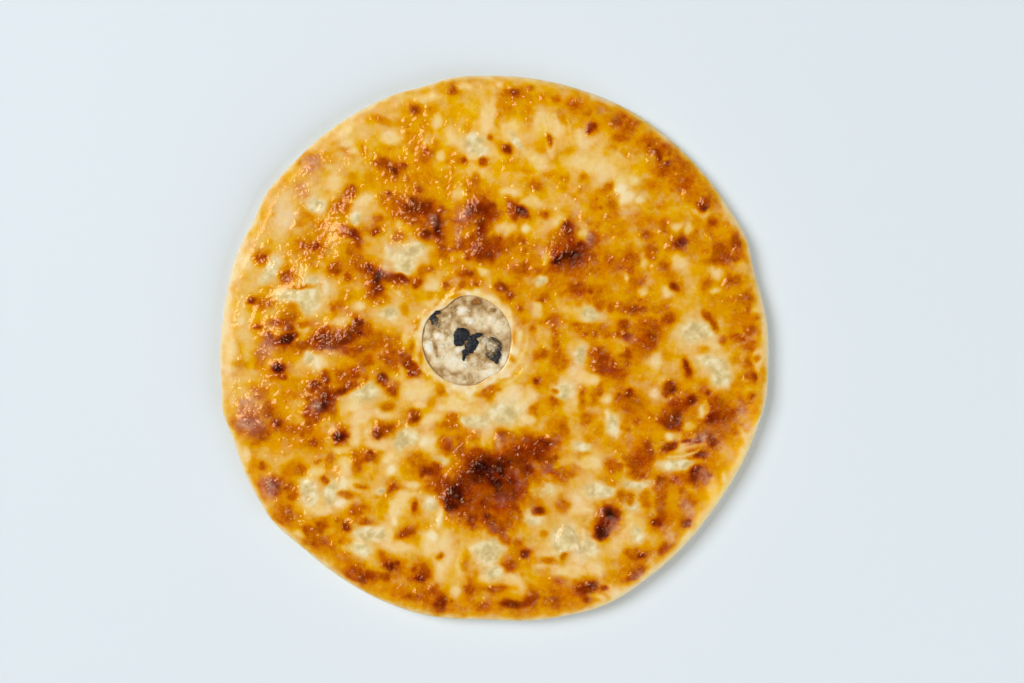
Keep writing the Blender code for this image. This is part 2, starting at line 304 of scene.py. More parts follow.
@dataclass(frozen=True)
class Outline:
    """The pie's outline from above: a circle with a few bulges and dents, and the vent's edge likewise."""

    radius: float = 0.165
    vent_radius: float = 0.0268
    vent_px: tuple[float, float] = (467.5, 340.5)
    middle_px: tuple[float, float] = (494.0, 350.0)
    # Angle and half width in degrees, and height.
    rim_waves: Waves = (
        (16, 6, -0.0018), (24, 5, 0.0014), (60, 7, 0.0007), (98, 5, 0.0008), (105, 4, -0.0010),
        (145, 5, 0.0012), (152, 4, -0.0012), (172, 8, -0.0010), (193, 4, 0.0022), (208, 8, 0.0020),
        (218, 6, 0.0028), (268, 9, -0.0028), (294, 8, 0.0022), (325, 13, -0.0020), (350, 5, 0.0013),
    )
    vent_waves: Waves = (
        (124, 17, -0.0032), (300, 11, -0.0017), (350, 14, -0.0008),
    )

    def flat_place(self, px: tuple[float, float]) -> np.ndarray:
        """Gives the place of a pixel at the pie's widest height."""
        return PHOTO.on_lid(*px, height=PHOTO.widest_height) * (1, 1, 0)

    @property
    def vent(self) -> np.ndarray:
        """The vent's middle."""
        return self.flat_place(self.vent_px)

    @staticmethod
    def wave(angles: np.ndarray, waves: Waves) -> np.ndarray:
        """Adds up the bulges and dents of a table.

        Args:
            angles: angles in radians.
            waves: the table.

        Returns:
            How far the edge moves out at each angle.
        """
        total = np.zeros_like(angles)
        for middle, width, height in waves:
            away = np.degrees((angles - math.radians(middle) + math.pi) % math.tau - math.pi)
            total += height * np.exp(-((away / width) ** 2))
        return total

    def spread(self, points: np.ndarray) -> np.ndarray:
        """Moves turned points to their places: rings about the vent drift to rings about the middle.

        Args:
            points: one row of x, y, z for each turned point.

        Returns:
            The same rows, in the pie's own frame.
        """
        radius = np.hypot(points[:, 0], points[:, 1])
        angle = np.arctan2(points[:, 1], points[:, 0])
        share = smooth((radius - self.vent_radius) / (self.radius - self.vent_radius))
        at_vent = 1 + self.wave(angle, self.vent_waves) / self.vent_radius
        at_rim = 1 + self.wave(angle, self.rim_waves) / self.radius
        reach = radius * (at_vent + (at_rim - at_vent) * share)
        middle = self.vent + np.outer(share, self.flat_place(self.middle_px) - self.vent)
        return middle + np.column_stack((reach * np.cos(angle), reach * np.sin(angle), points[:, 2]))

    def vent_reach(self, angle: float) -> float:
        """How far the vent's edge is from its middle at an angle in radians."""
        return self.vent_radius + float(self.wave(np.array([angle]), self.vent_waves)[0])


OUTLINE = Outline()


@dataclass(frozen=True)
class Section:
    """The dough's section from the vent to the rim, as heights and radii before the relief."""

    rim_height: float = 0.0150
    crown_height: float = 0.0172
    crown_radius: float = 0.085
    waist_height: float = 0.0062
    top_round: float = 0.0120
    # 2 rounds the shoulder as an ellipse, and more makes it fuller.
    fullness: float = 2.7
    base_round: float = 0.0080
    lid_wall: float = 0.0028
    base_wall: float = 0.0030
    side_wall: float = 0.0120
    cavity_round: float = 0.0120
    cavity_round_down: float = 0.55
    vent_edge: float = 0.0022
    # How far up the vent's wall its points are, and what share of the edge is rounded over.
    wall_shares: tuple[float, ...] = (0.0, 0.35, 0.62)
    rounded: float = 0.30
    lip_height: float = 0.0007
    lip_width: float = 0.0060
    ring: float = 0.00105
    coarse_ring: float = 0.012
    gap_at_wall: float = 0.0010
    gap: float = 0.0003
    gap_at_vent: float = 0.0005

    def lid(self, radius: np.ndarray | float) -> np.ndarray:
        """Works out the lid's even height, out to where the edge rounds down.

        Args:
            radius: one radius or many.

        Returns:
            The height at each.
        """
        shoulder = OUTLINE.radius - self.top_round
        rise = 1 - smooth((radius - self.crown_radius) / (shoulder - self.crown_radius))
        from_lip = np.abs(radius - OUTLINE.vent_radius - self.lip_width / 3) / self.lip_width
        crown = (self.crown_height - self.rim_height) * rise
        return self.rim_height + crown + self.lip_height * (1 - smooth(from_lip))

    def ceiling(self, radius: float) -> float:
        """Works out the height of the lid's underside, which rounds down to the side wall.

        Args:
            radius: the radius.

        Returns:
            The height there.
        """
        into = (radius - (OUTLINE.radius - self.side_wall - self.cavity_round)) / self.cavity_round
        drop = 1 - math.sqrt(1 - min(max(into, 0.0), 1.0) ** 2)
        depth = self.cavity_round_down * (self.rim_height - self.lid_wall - self.base_wall)
        return float(self.lid(radius)) - self.lid_wall - depth * drop

    def inside(self) -> list[tuple[float, float]]:
        """Lists the cavity's part of the profile: its floor, side and ceiling, in to the vent.

        Returns:
            Radius and height of each point.
        """
        inner = OUTLINE.radius - self.side_wall
        points = [(0.0, self.base_wall), (inner - self.base_round / 2, self.base_wall)]
        points.append((inner, self.base_wall + self.base_round / 4))
        turn = inner - self.cavity_round
        points += [(r, self.ceiling(r)) for r in rings(inner, turn, self.cavity_round / 4)]
        inward = rings(turn, OUTLINE.vent_radius, self.coarse_ring)
        return points + [(r, self.ceiling(r)) for r in inward[1:]]

    def outside(self) -> list[tuple[float, float]]:
        """Lists the part of the profile that shows: the vent's wall, the lid, the rim, the side and the base.

        Returns:
            Radius and height of each point.
        """
        vent = OUTLINE.vent_radius
        low = float(self.lid(vent)) - self.vent_edge
        points = [(vent, low + self.vent_edge * share) for share in self.wall_shares]
        for turn in (25, 50, 75):
            across = vent + self.vent_edge * self.rounded * (1 - math.cos(math.radians(turn)))
            up = 1 - self.rounded + self.rounded * math.sin(math.radians(turn))
            points.append((across, low + self.vent_edge * up))
        shoulder = OUTLINE.radius - self.top_round
        points += [(r, float(self.lid(r))) for r in rings(vent + self.vent_edge * 0.45, shoulder, self.ring)]
        for turn in range(6, 91, 6):
            out, up = math.sin(math.radians(turn)), math.cos(math.radians(turn))
            full = (out ** self.fullness + up ** self.fullness) ** (-1 / self.fullness)
            rise = (self.rim_height - self.waist_height) * up * full
            points.append((shoulder + self.top_round * out * full, self.waist_height + rise))
        for turn in range(10, 91, 10):
            across = OUTLINE.radius - self.base_round * (1 - math.cos(math.radians(turn)))
            points.append((across, self.waist_height * (1 - math.sin(math.radians(turn)))))
        base = OUTLINE.radius - self.base_round
        return points + [(r, 0.0) for r in rings(base, 0.0, self.coarse_ring)[1:]]


SECTION = Section()


class Bake(Enum):
    """How far the oven took a patch of the lid, from raw cream at 0 to charred at 1."""

    # Raw cream dough, which the palest patches also use as painted highlights on pale ridges and bubbles.
    RAW_AND_HIGHLIGHT = 0.02
    CREAM = 0.12
    WET = 0.17
    STRAW = 0.25
    AMBER = 0.49
    TAWNY = 0.59
    BROWN = 0.67
    DARK = 0.79
    CHARRED = 0.93


# Patches of the lid: the middle and half sizes in pixels, and the turn in degrees of some.
# Some pale patches are painted light: the palest ones, and cream and straw ones such as those at (284, 212),
# (243, 402) and (693, 440), stand for highlights and sheen of the lamp on the butter.
PATCHES: dict[Bake, Ovals] = {Bake.RAW_AND_HIGHLIGHT: (
    (626, 197, 9, 7), (640, 200, 5, 4), (620, 189, 6, 6), (423, 441, 5, 5), (312, 501, 8, 3.5, 45),
    (343, 484, 4, 9), (441, 520, 9, 3, 70), (432, 536, 6, 5), (477, 547, 8, 3.5, 35), (588, 513, 7, 5),
    (626, 521, 6, 3, 40), (322, 205, 4, 4), (484, 152, 4, 5), (526, 228, 4, 4), (628, 277, 2.5, 6),
    (394, 469, 4, 4), (703, 408, 3, 6), (358, 552, 5, 5), (618, 431, 2.5, 7), (607, 416, 2.5, 6),
    (360, 388, 5, 4), (655, 392, 5, 5), (326, 290, 3, 9), (388, 250, 3, 8), (667, 436, 4, 5),
    (342, 504, 7, 3, 30), (395, 522, 4, 5), (316, 364, 3, 7),
), Bake.CREAM: (
    (486, 118, 6, 22, 3), (476, 172, 12, 10), (437, 122, 6, 9), (388, 138, 10, 7), (344, 128, 12, 7, 35),
    (334, 182, 5, 9), (352, 204, 10, 5), (450, 136, 5, 9), (541, 122, 8, 16), (582, 163, 18, 8, -12),
    (604, 172, 16, 11, -35), (618, 183, 12, 10), (538, 162, 10, 8), (530, 203, 11, 5), (402, 223, 9, 8),
    (360, 304, 7, 5), (245, 264, 9, 9), (482, 271, 8, 4), (503, 229, 10, 7), (538, 308, 6, 9),
    (643, 290, 5, 6), (666, 292, 5, 7), (680, 262, 8, 7), (716, 270, 6, 8), (714, 290, 7, 4),
    (641, 260, 6, 8), (676, 225, 5, 4), (318, 364, 7, 8), (350, 405, 13, 7), (345, 450, 9, 5),
    (398, 377, 7, 13, -10), (415, 390, 17, 11), (430, 421, 13, 6, 30), (457, 406, 16, 4), (388, 456, 8, 9),
    (346, 464, 6, 10), (318, 473, 9, 5), (585, 379, 15, 8, -10), (572, 371, 6, 6), (578, 400, 6, 10),
    (655, 361, 7, 13), (690, 427, 8, 5), (590, 464, 13, 7), (547, 466, 10, 3), (512, 394, 11, 11, 40),
    (530, 420, 9, 5), (400, 548, 15, 7), (430, 546, 9, 12), (443, 556, 11, 20), (412, 486, 8, 4),
    (396, 512, 8, 6), (228, 345, 5, 40), (575, 504, 16, 10), (594, 569, 11, 6), (566, 570, 14, 6),
    (545, 560, 12, 9), (622, 546, 14, 9), (385, 413, 12, 6), (360, 418, 14, 8), (333, 432, 5, 9),
    (392, 470, 7, 8), (500, 398, 9, 6), (510, 130, 12, 10), (550, 130, 7, 13), (585, 138, 17, 12),
    (352, 320, 13, 4), (303, 325, 5, 7), (405, 338, 4, 9), (510, 578, 8, 6), (462, 565, 9, 12),
    (284, 212, 11, 18), (430, 445, 8, 8), (455, 400, 12, 5), (545, 258, 4, 6), (385, 268, 3, 5),
    (355, 486, 14, 6), (378, 442, 13, 6), (390, 536, 5, 9), (485, 580, 7, 5), (515, 586, 9, 11),
    (455, 592, 5, 7), (612, 590, 12, 6, -30), (580, 562, 8, 5), (743, 437, 3, 9, 25), (430, 286, 10, 6),
    (430, 302, 8, 8), (693, 440, 13, 4, 28), (302, 330, 5, 9), (605, 398, 5, 4), (243, 402, 11, 8),
    (245, 418, 8, 5), (320, 510, 12, 7), (345, 507, 7, 4), (406, 498, 9, 5), (405, 458, 9, 6),
    (355, 437, 7, 12), (530, 487, 8, 5), (591, 522, 5, 9), (630, 521, 7, 9), (645, 483, 7, 6),
    (705, 415, 6, 4), (688, 446, 15, 5, 25), (510, 192, 10, 4), (460, 195, 8, 7), (365, 200, 7, 5),
    (310, 166, 8, 7), (345, 143, 8, 5), (480, 155, 16, 7), (440, 156, 6, 5), (550, 145, 5, 11),
    (425, 97, 16, 5), (700, 211, 6, 4), (305, 332, 5, 8), (330, 350, 7, 4), (340, 323, 13, 4),
    (246, 300, 8, 7), (343, 405, 7, 9), (248, 457, 6, 8), (421, 320, 3, 9), (518, 345, 4, 11),
    (530, 400, 6, 12), (487, 440, 6, 15), (418, 405, 8, 5), (370, 433, 6, 7), (410, 460, 9, 7),
    (405, 505, 17, 6), (440, 515, 5, 9), (300, 535, 7, 5), (550, 556, 11, 6), (576, 572, 15, 6),
    (595, 530, 7, 12), (712, 490, 7, 15, 20), (640, 480, 8, 5), (625, 465, 9, 8), (585, 418, 7, 7),
    (668, 382, 10, 6), (676, 398, 5, 5), (715, 343, 7, 6), (758, 360, 5, 16), (705, 210, 7, 7),
    (555, 130, 10, 10), (490, 115, 5, 22), (560, 222, 11, 5), (362, 203, 7, 5), (582, 236, 3.5, 8),
    (428, 143, 3.5, 8), (632, 181, 6, 6), (240, 319, 6, 4), (352, 151, 5, 4), (480, 161, 4, 7),
    (620, 203, 6, 4), (688, 228, 5, 5), (755, 311, 5, 4), (516, 338, 3, 8), (476, 400, 6, 3),
    (603, 598, 6, 3), (342, 491, 5, 2.5), (398, 293, 3, 3), (280, 263, 3, 6), (530, 510, 5, 2.5),
    (464, 85, 8, 3), (498, 84, 4, 3), (724, 476, 3, 6),
), Bake.WET: (
    (473, 143, 12, 10), (483, 152, 6, 7), (518, 141, 10, 4, -60), (316, 203, 10, 7), (409, 252, 21, 10, 20),
    (404, 266, 13, 9), (298, 293, 24, 10), (308, 303, 11, 11), (312, 284, 10, 7), (271, 270, 13, 6, 50),
    (357, 219, 5, 8), (388, 315, 9, 8), (540, 281, 6, 6), (590, 313, 11, 8, -15), (697, 331, 19, 12, 12),
    (309, 359, 6, 8), (366, 393, 17, 10, 15), (405, 437, 12, 9, 20), (470, 421, 24, 7), (505, 412, 19, 12),
    (580, 355, 6, 9), (563, 391, 10, 9), (613, 424, 5, 11), (712, 362, 16, 8), (720, 376, 11, 13),
    (678, 463, 20, 6, 4), (581, 446, 9, 6), (367, 533, 15, 8), (361, 549, 10, 8), (379, 537, 8, 7),
    (308, 492, 10, 11), (331, 493, 8, 15), (431, 503, 8, 9), (488, 553, 13, 14), (492, 572, 9, 8),
    (383, 490, 6, 4), (545, 490, 12, 9), (534, 515, 10, 8), (556, 478, 9, 5), (600, 491, 16, 6),
    (566, 540, 14, 16), (586, 548, 13, 10), (637, 534, 6, 6), (632, 505, 8, 6), (635, 485, 12, 5),
    (440, 460, 8, 5), (400, 440, 6, 10), (496, 545, 9, 9),
), Bake.STRAW: (
    (560, 148, 14, 18), (540, 140, 18, 12), (694, 285, 14, 18), (563, 305, 11, 10), (553, 218, 13, 8),
    (632, 240, 7, 5), (540, 332, 8, 8), (360, 430, 12, 12), (672, 366, 9, 9), (440, 410, 20, 9),
    (460, 585, 7, 12), (580, 481, 14, 8), (655, 505, 12, 12), (300, 320, 14, 8), (330, 235, 6, 12),
    (380, 240, 12, 10), (395, 290, 8, 14), (340, 285, 12, 12), (410, 325, 8, 16), (680, 300, 12, 10),
    (640, 165, 10, 10), (505, 180, 12, 10), (620, 345, 8, 6), (730, 403, 8, 8), (590, 420, 12, 14),
    (540, 430, 12, 10), (300, 412, 12, 12), (330, 470, 14, 12), (400, 510, 14, 10), (620, 520, 40, 36),
    (560, 530, 40, 30), (380, 395, 40, 24), (440, 560, 24, 26), (570, 455, 26, 12), (330, 495, 26, 16),
    (500, 405, 30, 16), (590, 165, 36, 16, -20), (310, 295, 34, 18), (405, 260, 26, 18), (705, 355, 28, 30),
    (480, 145, 18, 14), (370, 540, 28, 18), (420, 440, 22, 14), (285, 215, 16, 24), (310, 180, 14, 16),
    (345, 162, 14, 20), (370, 125, 16, 14), (375, 205, 12, 18), (465, 108, 14, 12), (445, 155, 7, 18),
    (490, 160, 13, 14), (630, 213, 24, 6), (695, 260, 11, 28), (435, 280, 10, 8), (490, 281, 7, 11),
    (355, 485, 12, 12), (245, 300, 12, 50), (242, 400, 14, 14), (425, 97, 18, 8), (480, 90, 18, 10),
    (497, 115, 5, 30), (515, 153, 9, 6), (590, 125, 8, 8), (655, 166, 6, 7), (510, 192, 15, 6),
    (740, 270, 8, 9), (695, 310, 10, 7), (755, 308, 6, 8), (757, 350, 5, 16), (255, 260, 6, 12),
    (280, 265, 7, 16), (272, 317, 11, 7), (270, 360, 10, 10), (295, 380, 15, 12), (430, 285, 20, 8),
    (425, 305, 10, 14), (380, 330, 8, 8), (545, 340, 10, 9), (530, 360, 11, 18), (592, 336, 8, 7),
    (490, 430, 9, 12), (515, 425, 12, 5), (375, 440, 18, 10), (325, 425, 5, 7), (406, 497, 12, 7),
    (460, 466, 6, 9), (530, 485, 8, 5), (440, 522, 6, 12), (372, 560, 10, 10), (655, 540, 8, 9),
    (580, 232, 6, 12), (540, 232, 8, 8), (690, 212, 14, 10), (660, 290, 8, 12), (710, 305, 12, 8),
    (330, 440, 6, 6), (555, 505, 8, 8), (545, 560, 14, 5), (405, 460, 10, 8), (700, 375, 12, 8),
    (265, 455, 18, 14), (572, 446, 16, 10), (575, 425, 6, 14), (430, 250, 6, 8, -40), (465, 255, 14, 5),
    (500, 280, 8, 6), (665, 390, 7, 13), (288, 257, 6, 12, -20), (275, 460, 12, 7), (472, 262, 9, 6),
    (485, 292, 16, 9), (502, 315, 9, 8), (476, 386, 12, 6), (368, 468, 20, 8), (400, 525, 7, 9),
    (378, 568, 8, 7), (490, 588, 6, 5), (525, 600, 13, 6), (660, 550, 7, 13), (728, 453, 7, 8),
    (632, 380, 8, 9), (725, 288, 8, 9), (625, 320, 24, 9), (640, 180, 13, 9), (662, 155, 14, 7),
    (605, 150, 6, 9), (500, 205, 6, 12), (540, 225, 24, 9), (405, 163, 9, 5), (430, 182, 18, 6),
    (410, 105, 6, 9), (355, 150, 18, 8), (335, 168, 10, 8), (330, 265, 18, 8), (390, 236, 6, 5),
    (750, 392, 7, 7), (650, 313, 14, 6), (515, 530, 5, 7), (330, 530, 8, 4), (341, 241, 7, 4),
    (548, 262, 5, 5), (600, 578, 5, 5), (305, 328, 6, 6), (273, 333, 7, 5), (604, 392, 7, 5),
    (428, 156, 4, 6), (707, 252, 7, 10), (735, 285, 7, 4), (590, 331, 12, 4), (361, 321, 4, 9),
    (375, 331, 4, 8), (300, 341, 6, 4), (602, 555, 9, 4), (706, 504, 4, 5), (656, 446, 4, 9),
    (676, 436, 4, 6), (605, 395, 4, 8), (273, 473, 10, 6), (346, 564, 5, 5), (457, 283, 4, 6),
    (575, 414, 10, 6), (653, 564, 5, 5), (616, 556, 10, 5), (330, 141, 9, 5), (265, 207, 5, 8),
    (340, 229, 6, 8), (603, 598, 9, 5), (528, 512, 9, 4), (650, 540, 8, 7), (693, 487, 5, 4),
    (536, 178, 10, 4),
), Bake.AMBER: (
    (345, 149, 11, 5, -40), (363, 152, 3.5, 8), (300, 162, 8, 5), (350, 175, 8, 4), (370, 180, 6, 6),
    (380, 119, 14, 5, -10), (402, 122, 9, 5, -15), (422, 128, 6, 8), (430, 110, 7, 4), (434, 148, 5, 8),
    (423, 165, 8, 6), (447, 158, 8, 6), (340, 208, 11, 8), (302, 190, 7, 9), (303, 208, 5, 8),
    (505, 106, 16, 12), (525, 87, 9, 4), (536, 97, 8, 6), (556, 98, 7, 6), (560, 118, 8, 8), (615, 148, 6, 4),
    (627, 152, 5, 4), (650, 185, 14, 6), (583, 178, 5, 4), (565, 180, 5, 4), (581, 193, 4, 3),
    (596, 203, 8, 7), (668, 273, 8, 4), (560, 286, 30, 14), (620, 303, 9, 8), (586, 300, 8, 6),
    (755, 320, 6, 9), (532, 328, 3, 5), (519, 326, 3, 5), (602, 288, 8, 6), (236, 366, 6, 5),
    (278, 395, 3, 6), (452, 421, 12, 7, 20), (462, 437, 8, 8), (476, 433, 10, 6), (363, 418, 4, 3),
    (430, 400, 5, 7), (292, 468, 6, 6), (316, 463, 5, 3), (705, 351, 6, 4), (735, 360, 5, 6),
    (600, 430, 6, 6), (393, 482, 8, 7), (363, 483, 4, 3), (467, 560, 6, 7), (472, 575, 7, 6),
    (405, 591, 22, 8), (432, 590, 10, 8), (562, 500, 7, 6), (562, 510, 4, 4), (545, 533, 6, 5),
    (614, 482, 6, 4), (563, 482, 6, 3), (668, 520, 10, 12), (630, 571, 12, 8), (560, 581, 16, 8),
    (550, 598, 20, 10), (300, 440, 20, 12), (250, 460, 8, 18), (320, 545, 24, 10, -30),
    (345, 560, 18, 8, -20), (640, 220, 14, 10), (610, 220, 10, 8), (720, 300, 12, 12), (735, 320, 12, 10),
    (600, 265, 22, 10), (530, 255, 14, 10), (500, 262, 12, 8), (310, 250, 20, 14), (320, 230, 14, 12),
    (350, 268, 20, 12), (450, 225, 10, 14), (455, 195, 10, 8), (420, 180, 30, 10), (470, 195, 16, 8),
    (250, 301, 9, 7), (268, 288, 6, 5), (400, 345, 14, 10), (512, 362, 4, 8), (690, 240, 22, 20),
    (700, 185, 16, 16), (640, 425, 10, 10), (620, 440, 14, 10), (590, 440, 8, 8), (550, 380, 10, 10),
    (355, 490, 10, 6), (290, 390, 14, 14), (456, 610, 14, 4), (600, 110, 16, 6), (425, 100, 16, 5),
    (412, 135, 14, 5), (560, 156, 10, 6), (616, 136, 6, 9), (550, 320, 8, 14), (530, 115, 10, 12),
    (430, 300, 12, 12), (640, 550, 9, 7), (720, 290, 10, 10), (570, 590, 30, 10), (412, 141, 12, 5),
    (505, 130, 7, 14), (540, 118, 9, 16), (575, 135, 5, 6), (440, 125, 4, 8), (545, 155, 10, 8),
    (285, 205, 10, 4), (570, 155, 8, 6), (600, 190, 6, 5), (450, 190, 6, 5), (405, 310, 6, 6),
    (298, 518, 6, 5), (345, 543, 7, 5), (410, 540, 7, 6), (580, 300, 5, 8), (540, 318, 5, 7),
    (520, 285, 8, 6), (620, 225, 12, 5), (635, 360, 8, 6), (625, 425, 6, 7), (616, 573, 7, 4),
    (545, 571, 7, 5), (315, 266, 9, 5, -20), (325, 292, 4, 5), (332, 313, 4, 8), (414, 330, 3, 9),
    (303, 221, 9, 7), (640, 295, 15, 12), (552, 428, 6, 12), (330, 518, 14, 5), (512, 112, 6, 8),
    (505, 265, 10, 5), (348, 294, 11, 5), (364, 229, 4, 7), (308, 215, 10, 12), (242, 370, 7, 5),
    (380, 301, 6, 5), (421, 283, 7, 4), (582, 232, 6, 6), (618, 232, 9, 9), (660, 205, 5, 5),
    (635, 280, 9, 10), (708, 331, 5, 8), (735, 381, 10, 8), (666, 356, 6, 6), (592, 345, 6, 5),
    (520, 386, 7, 4), (536, 420, 6, 6), (581, 455, 8, 9), (606, 480, 9, 6), (650, 481, 6, 6),
    (450, 471, 4, 4), (325, 508, 12, 5), (381, 540, 6, 5), (500, 546, 8, 5), (455, 591, 6, 4),
    (650, 516, 5, 6), (417, 509, 5, 4), (501, 122, 5, 12), (440, 118, 4, 5), (537, 100, 4, 8),
    (621, 365, 5, 14), (331, 470, 5, 10), (480, 556, 5, 5), (378, 495, 6, 3), (398, 492, 5, 3),
    (322, 288, 3, 5), (467, 130, 4, 6), (552, 120, 6, 5), (550, 173, 7, 3), (524, 171, 8, 3),
    (600, 182, 4, 3), (733, 262, 5, 3), (630, 484, 9, 3), (680, 458, 7, 5), (574, 475, 5, 3),
    (734, 430, 5, 9, 25), (386, 504, 10, 9), (670, 474, 14, 5),
), Bake.TAWNY: (
    (350, 190, 6, 8), (390, 200, 10, 7), (574, 104, 5, 5), (510, 93, 10, 5), (620, 120, 10, 7),
    (630, 126, 7, 8), (668, 150, 10, 9), (650, 145, 9, 9), (665, 168, 13, 8), (683, 168, 8, 11),
    (685, 182, 10, 9), (536, 187, 6, 5), (612, 205, 6, 8), (608, 187, 4.5, 8), (544, 215, 4, 3),
    (500, 245, 15, 6), (663, 227, 3, 3), (646, 235, 4, 4), (629, 252, 4, 5), (632, 272, 5, 5),
    (638, 282, 7, 5), (609, 261, 5, 4), (526, 265, 4, 3), (522, 242, 5, 3), (594, 289, 3, 4),
    (543, 299, 6, 4), (520, 308, 3, 3), (610, 307, 4, 5), (746, 300, 9, 9), (603, 329, 5, 4),
    (551, 320, 5, 4), (577, 325, 4, 3), (750, 331, 6, 5), (750, 343, 9, 5), (262, 355, 8, 7),
    (350, 352, 8, 4), (372, 347, 7, 5), (395, 355, 8, 6), (388, 407, 7, 5), (443, 387, 6, 7),
    (487, 392, 8, 9), (444, 443, 8, 6), (355, 462, 6, 12), (415, 460, 11, 9), (240, 425, 8, 8),
    (246, 405, 10, 9), (258, 444, 6, 4), (265, 405, 5, 6, -40), (292, 431, 10, 5), (303, 432, 4, 4),
    (541, 355, 8, 5), (556, 357, 7, 7), (749, 362, 4, 7), (704, 390, 5, 6), (712, 402, 8, 7),
    (632, 405, 12, 11), (555, 403, 6, 4), (615, 465, 8, 6), (503, 435, 7, 7), (265, 487, 8, 6),
    (293, 492, 6, 8), (285, 513, 10, 7), (347, 496, 6, 4), (358, 509, 9, 5), (318, 540, 12, 8),
    (382, 556, 5, 4, -40), (485, 607, 8, 4), (645, 498, 5, 4), (623, 497, 5, 7), (663, 483, 10, 6),
    (680, 480, 8, 6), (555, 598, 6, 7), (640, 572, 8, 9), (672, 545, 5, 4), (512, 518, 7, 6),
    (518, 541, 4, 4), (489, 136, 3, 4), (312, 164, 9, 9), (443, 252, 6, 8), (467, 245, 10, 8),
    (460, 225, 5, 8), (350, 250, 5, 8), (360, 262, 10, 6), (424, 272, 5, 4), (463, 285, 6, 4),
    (445, 287, 5, 3), (632, 457, 6, 5), (722, 340, 6, 4), (500, 480, 30, 30), (475, 505, 16, 14),
    (370, 330, 5, 5), (447, 484, 5, 8), (521, 272, 9, 6), (660, 500, 7, 22), (475, 180, 6, 8),
    (648, 330, 14, 14), (732, 280, 6, 8), (415, 598, 12, 4), (453, 419, 8, 5), (375, 340, 14, 10),
    (595, 356, 8, 5), (586, 418, 7, 8), (345, 205, 7, 7), (625, 265, 14, 5), (664, 268, 6, 4),
    (738, 338, 8, 4), (630, 500, 5, 7), (505, 538, 8, 6), (528, 601, 9, 4), (642, 574, 9, 6, 40),
    (330, 460, 5, 5), (282, 520, 12, 7), (450, 426, 12, 6), (350, 372, 14, 6, 8), (560, 362, 9, 8),
    (312, 388, 8, 6), (425, 155, 6, 9), (470, 252, 8, 8), (636, 259, 6, 8), (395, 365, 6, 10),
    (564, 431, 6, 8), (390, 358, 6, 10), (415, 356, 5, 8), (395, 385, 6, 6), (752, 398, 5, 6),
    (533, 409, 5, 5), (600, 367, 8, 8), (290, 313, 8, 9), (265, 302, 10, 6), (300, 286, 14, 3),
    (575, 268, 20, 6), (599, 300, 5, 12), (588, 331, 10, 8), (555, 345, 5, 22), (597, 392, 4, 12, -20),
    (642, 345, 13, 9), (718, 262, 12, 5), (706, 285, 6, 6), (651, 250, 5, 9), (400, 356, 5, 8),
    (256, 393, 8, 7), (262, 438, 8, 7), (410, 421, 4, 9), (460, 450, 4, 10), (496, 520, 8, 14),
    (632, 553, 12, 8), (705, 432, 12, 8), (465, 565, 5, 8), (621, 138, 6, 4), (336, 206, 6, 4),
    (607, 335, 4, 4), (430, 591, 7, 5), (735, 411, 4, 7), (366, 362, 8, 7), (398, 236, 5, 4),
    (378, 219, 5, 4), (630, 312, 9, 6), (658, 311, 8, 5), (581, 400, 4, 9), (563, 476, 14, 5, 20),
    (638, 474, 10, 7), (563, 505, 7, 6), (647, 501, 4, 8), (546, 560, 10, 4), (366, 521, 8, 4),
    (300, 472, 6, 5), (760, 331, 3, 7), (738, 280, 5, 7), (541, 272, 6, 4), (556, 440, 5, 6),
    (621, 466, 5, 5), (498, 590, 14, 4), (361, 485, 7, 3), (305, 323, 9, 4), (554, 457, 4, 6),
    (470, 288, 4, 3.5), (440, 558, 4, 4), (586, 598, 4, 4), (366, 376, 4, 5), (557, 391, 4, 3),
    (757, 358, 2.5, 5), (430, 491, 5, 5), (333, 411, 4, 4), (609, 517, 3, 3), (667, 394, 5, 2.5),
    (338, 303, 4, 5), (690, 504, 6, 7), (508, 524, 7, 6), (520, 517, 4, 6), (743, 404, 5, 9),
), Bake.BROWN: (
    (414, 110, 6, 5), (382, 163, 9, 7), (419, 191, 3, 4), (453, 90, 4.5, 4.5), (484, 162, 5, 5),
    (463, 160, 4, 4), (702, 204, 8, 7), (712, 222, 4, 4), (719, 250, 5, 8), (736, 243, 5, 13),
    (727, 259, 13, 4), (579, 289, 8, 6), (501, 288, 8, 6, -40), (509, 296, 4, 5), (638, 310, 9, 4),
    (710, 320, 14, 4, -65), (668, 320, 5, 7), (625, 325, 7, 5), (651, 333, 5, 10), (629, 338, 5, 3),
    (344, 335, 18, 6, 8), (334, 345, 9, 5), (358, 349, 9, 4), (352, 373, 8, 5), (392, 392, 7, 5, -40),
    (416, 372, 5, 6), (414, 417, 4, 6), (385, 431, 11, 6, 20), (371, 455, 9, 6, 20), (248, 421, 12, 9),
    (256, 432, 9, 7), (268, 413, 5, 5, -40), (314, 443, 4, 4), (264, 467, 4, 4), (537, 381, 4, 4),
    (605, 361, 7, 6), (616, 371, 13, 8, -20), (626, 353, 5, 5), (650, 341, 6, 6), (753, 375, 4, 5),
    (672, 413, 8, 7), (648, 455, 7, 11), (700, 454, 8, 4), (563, 252, 14, 14), (331, 397, 11, 9, -30),
    (317, 418, 5, 5), (406, 533, 9, 6, 15), (321, 525, 6, 6), (307, 531, 6, 5), (356, 573, 11, 6, -10),
    (390, 567, 9, 5), (422, 570, 8, 10), (470, 589, 7, 6), (470, 525, 5, 5), (488, 516, 8, 6),
    (509, 564, 7, 6), (498, 528, 7, 6), (618, 516, 5, 7), (606, 588, 4, 3), (533, 598, 5, 6),
    (556, 603, 5, 5), (448, 446, 4, 4), (303, 248, 4, 4), (312, 247, 7, 4), (262, 258, 6, 5),
    (286, 276, 7, 6), (344, 231, 7, 6), (354, 232, 6, 5), (377, 231, 4, 4), (335, 271, 5, 6),
    (347, 278, 4, 4), (368, 268, 8, 6), (404, 278, 9, 4), (418, 282, 6, 5), (467, 273, 7, 5),
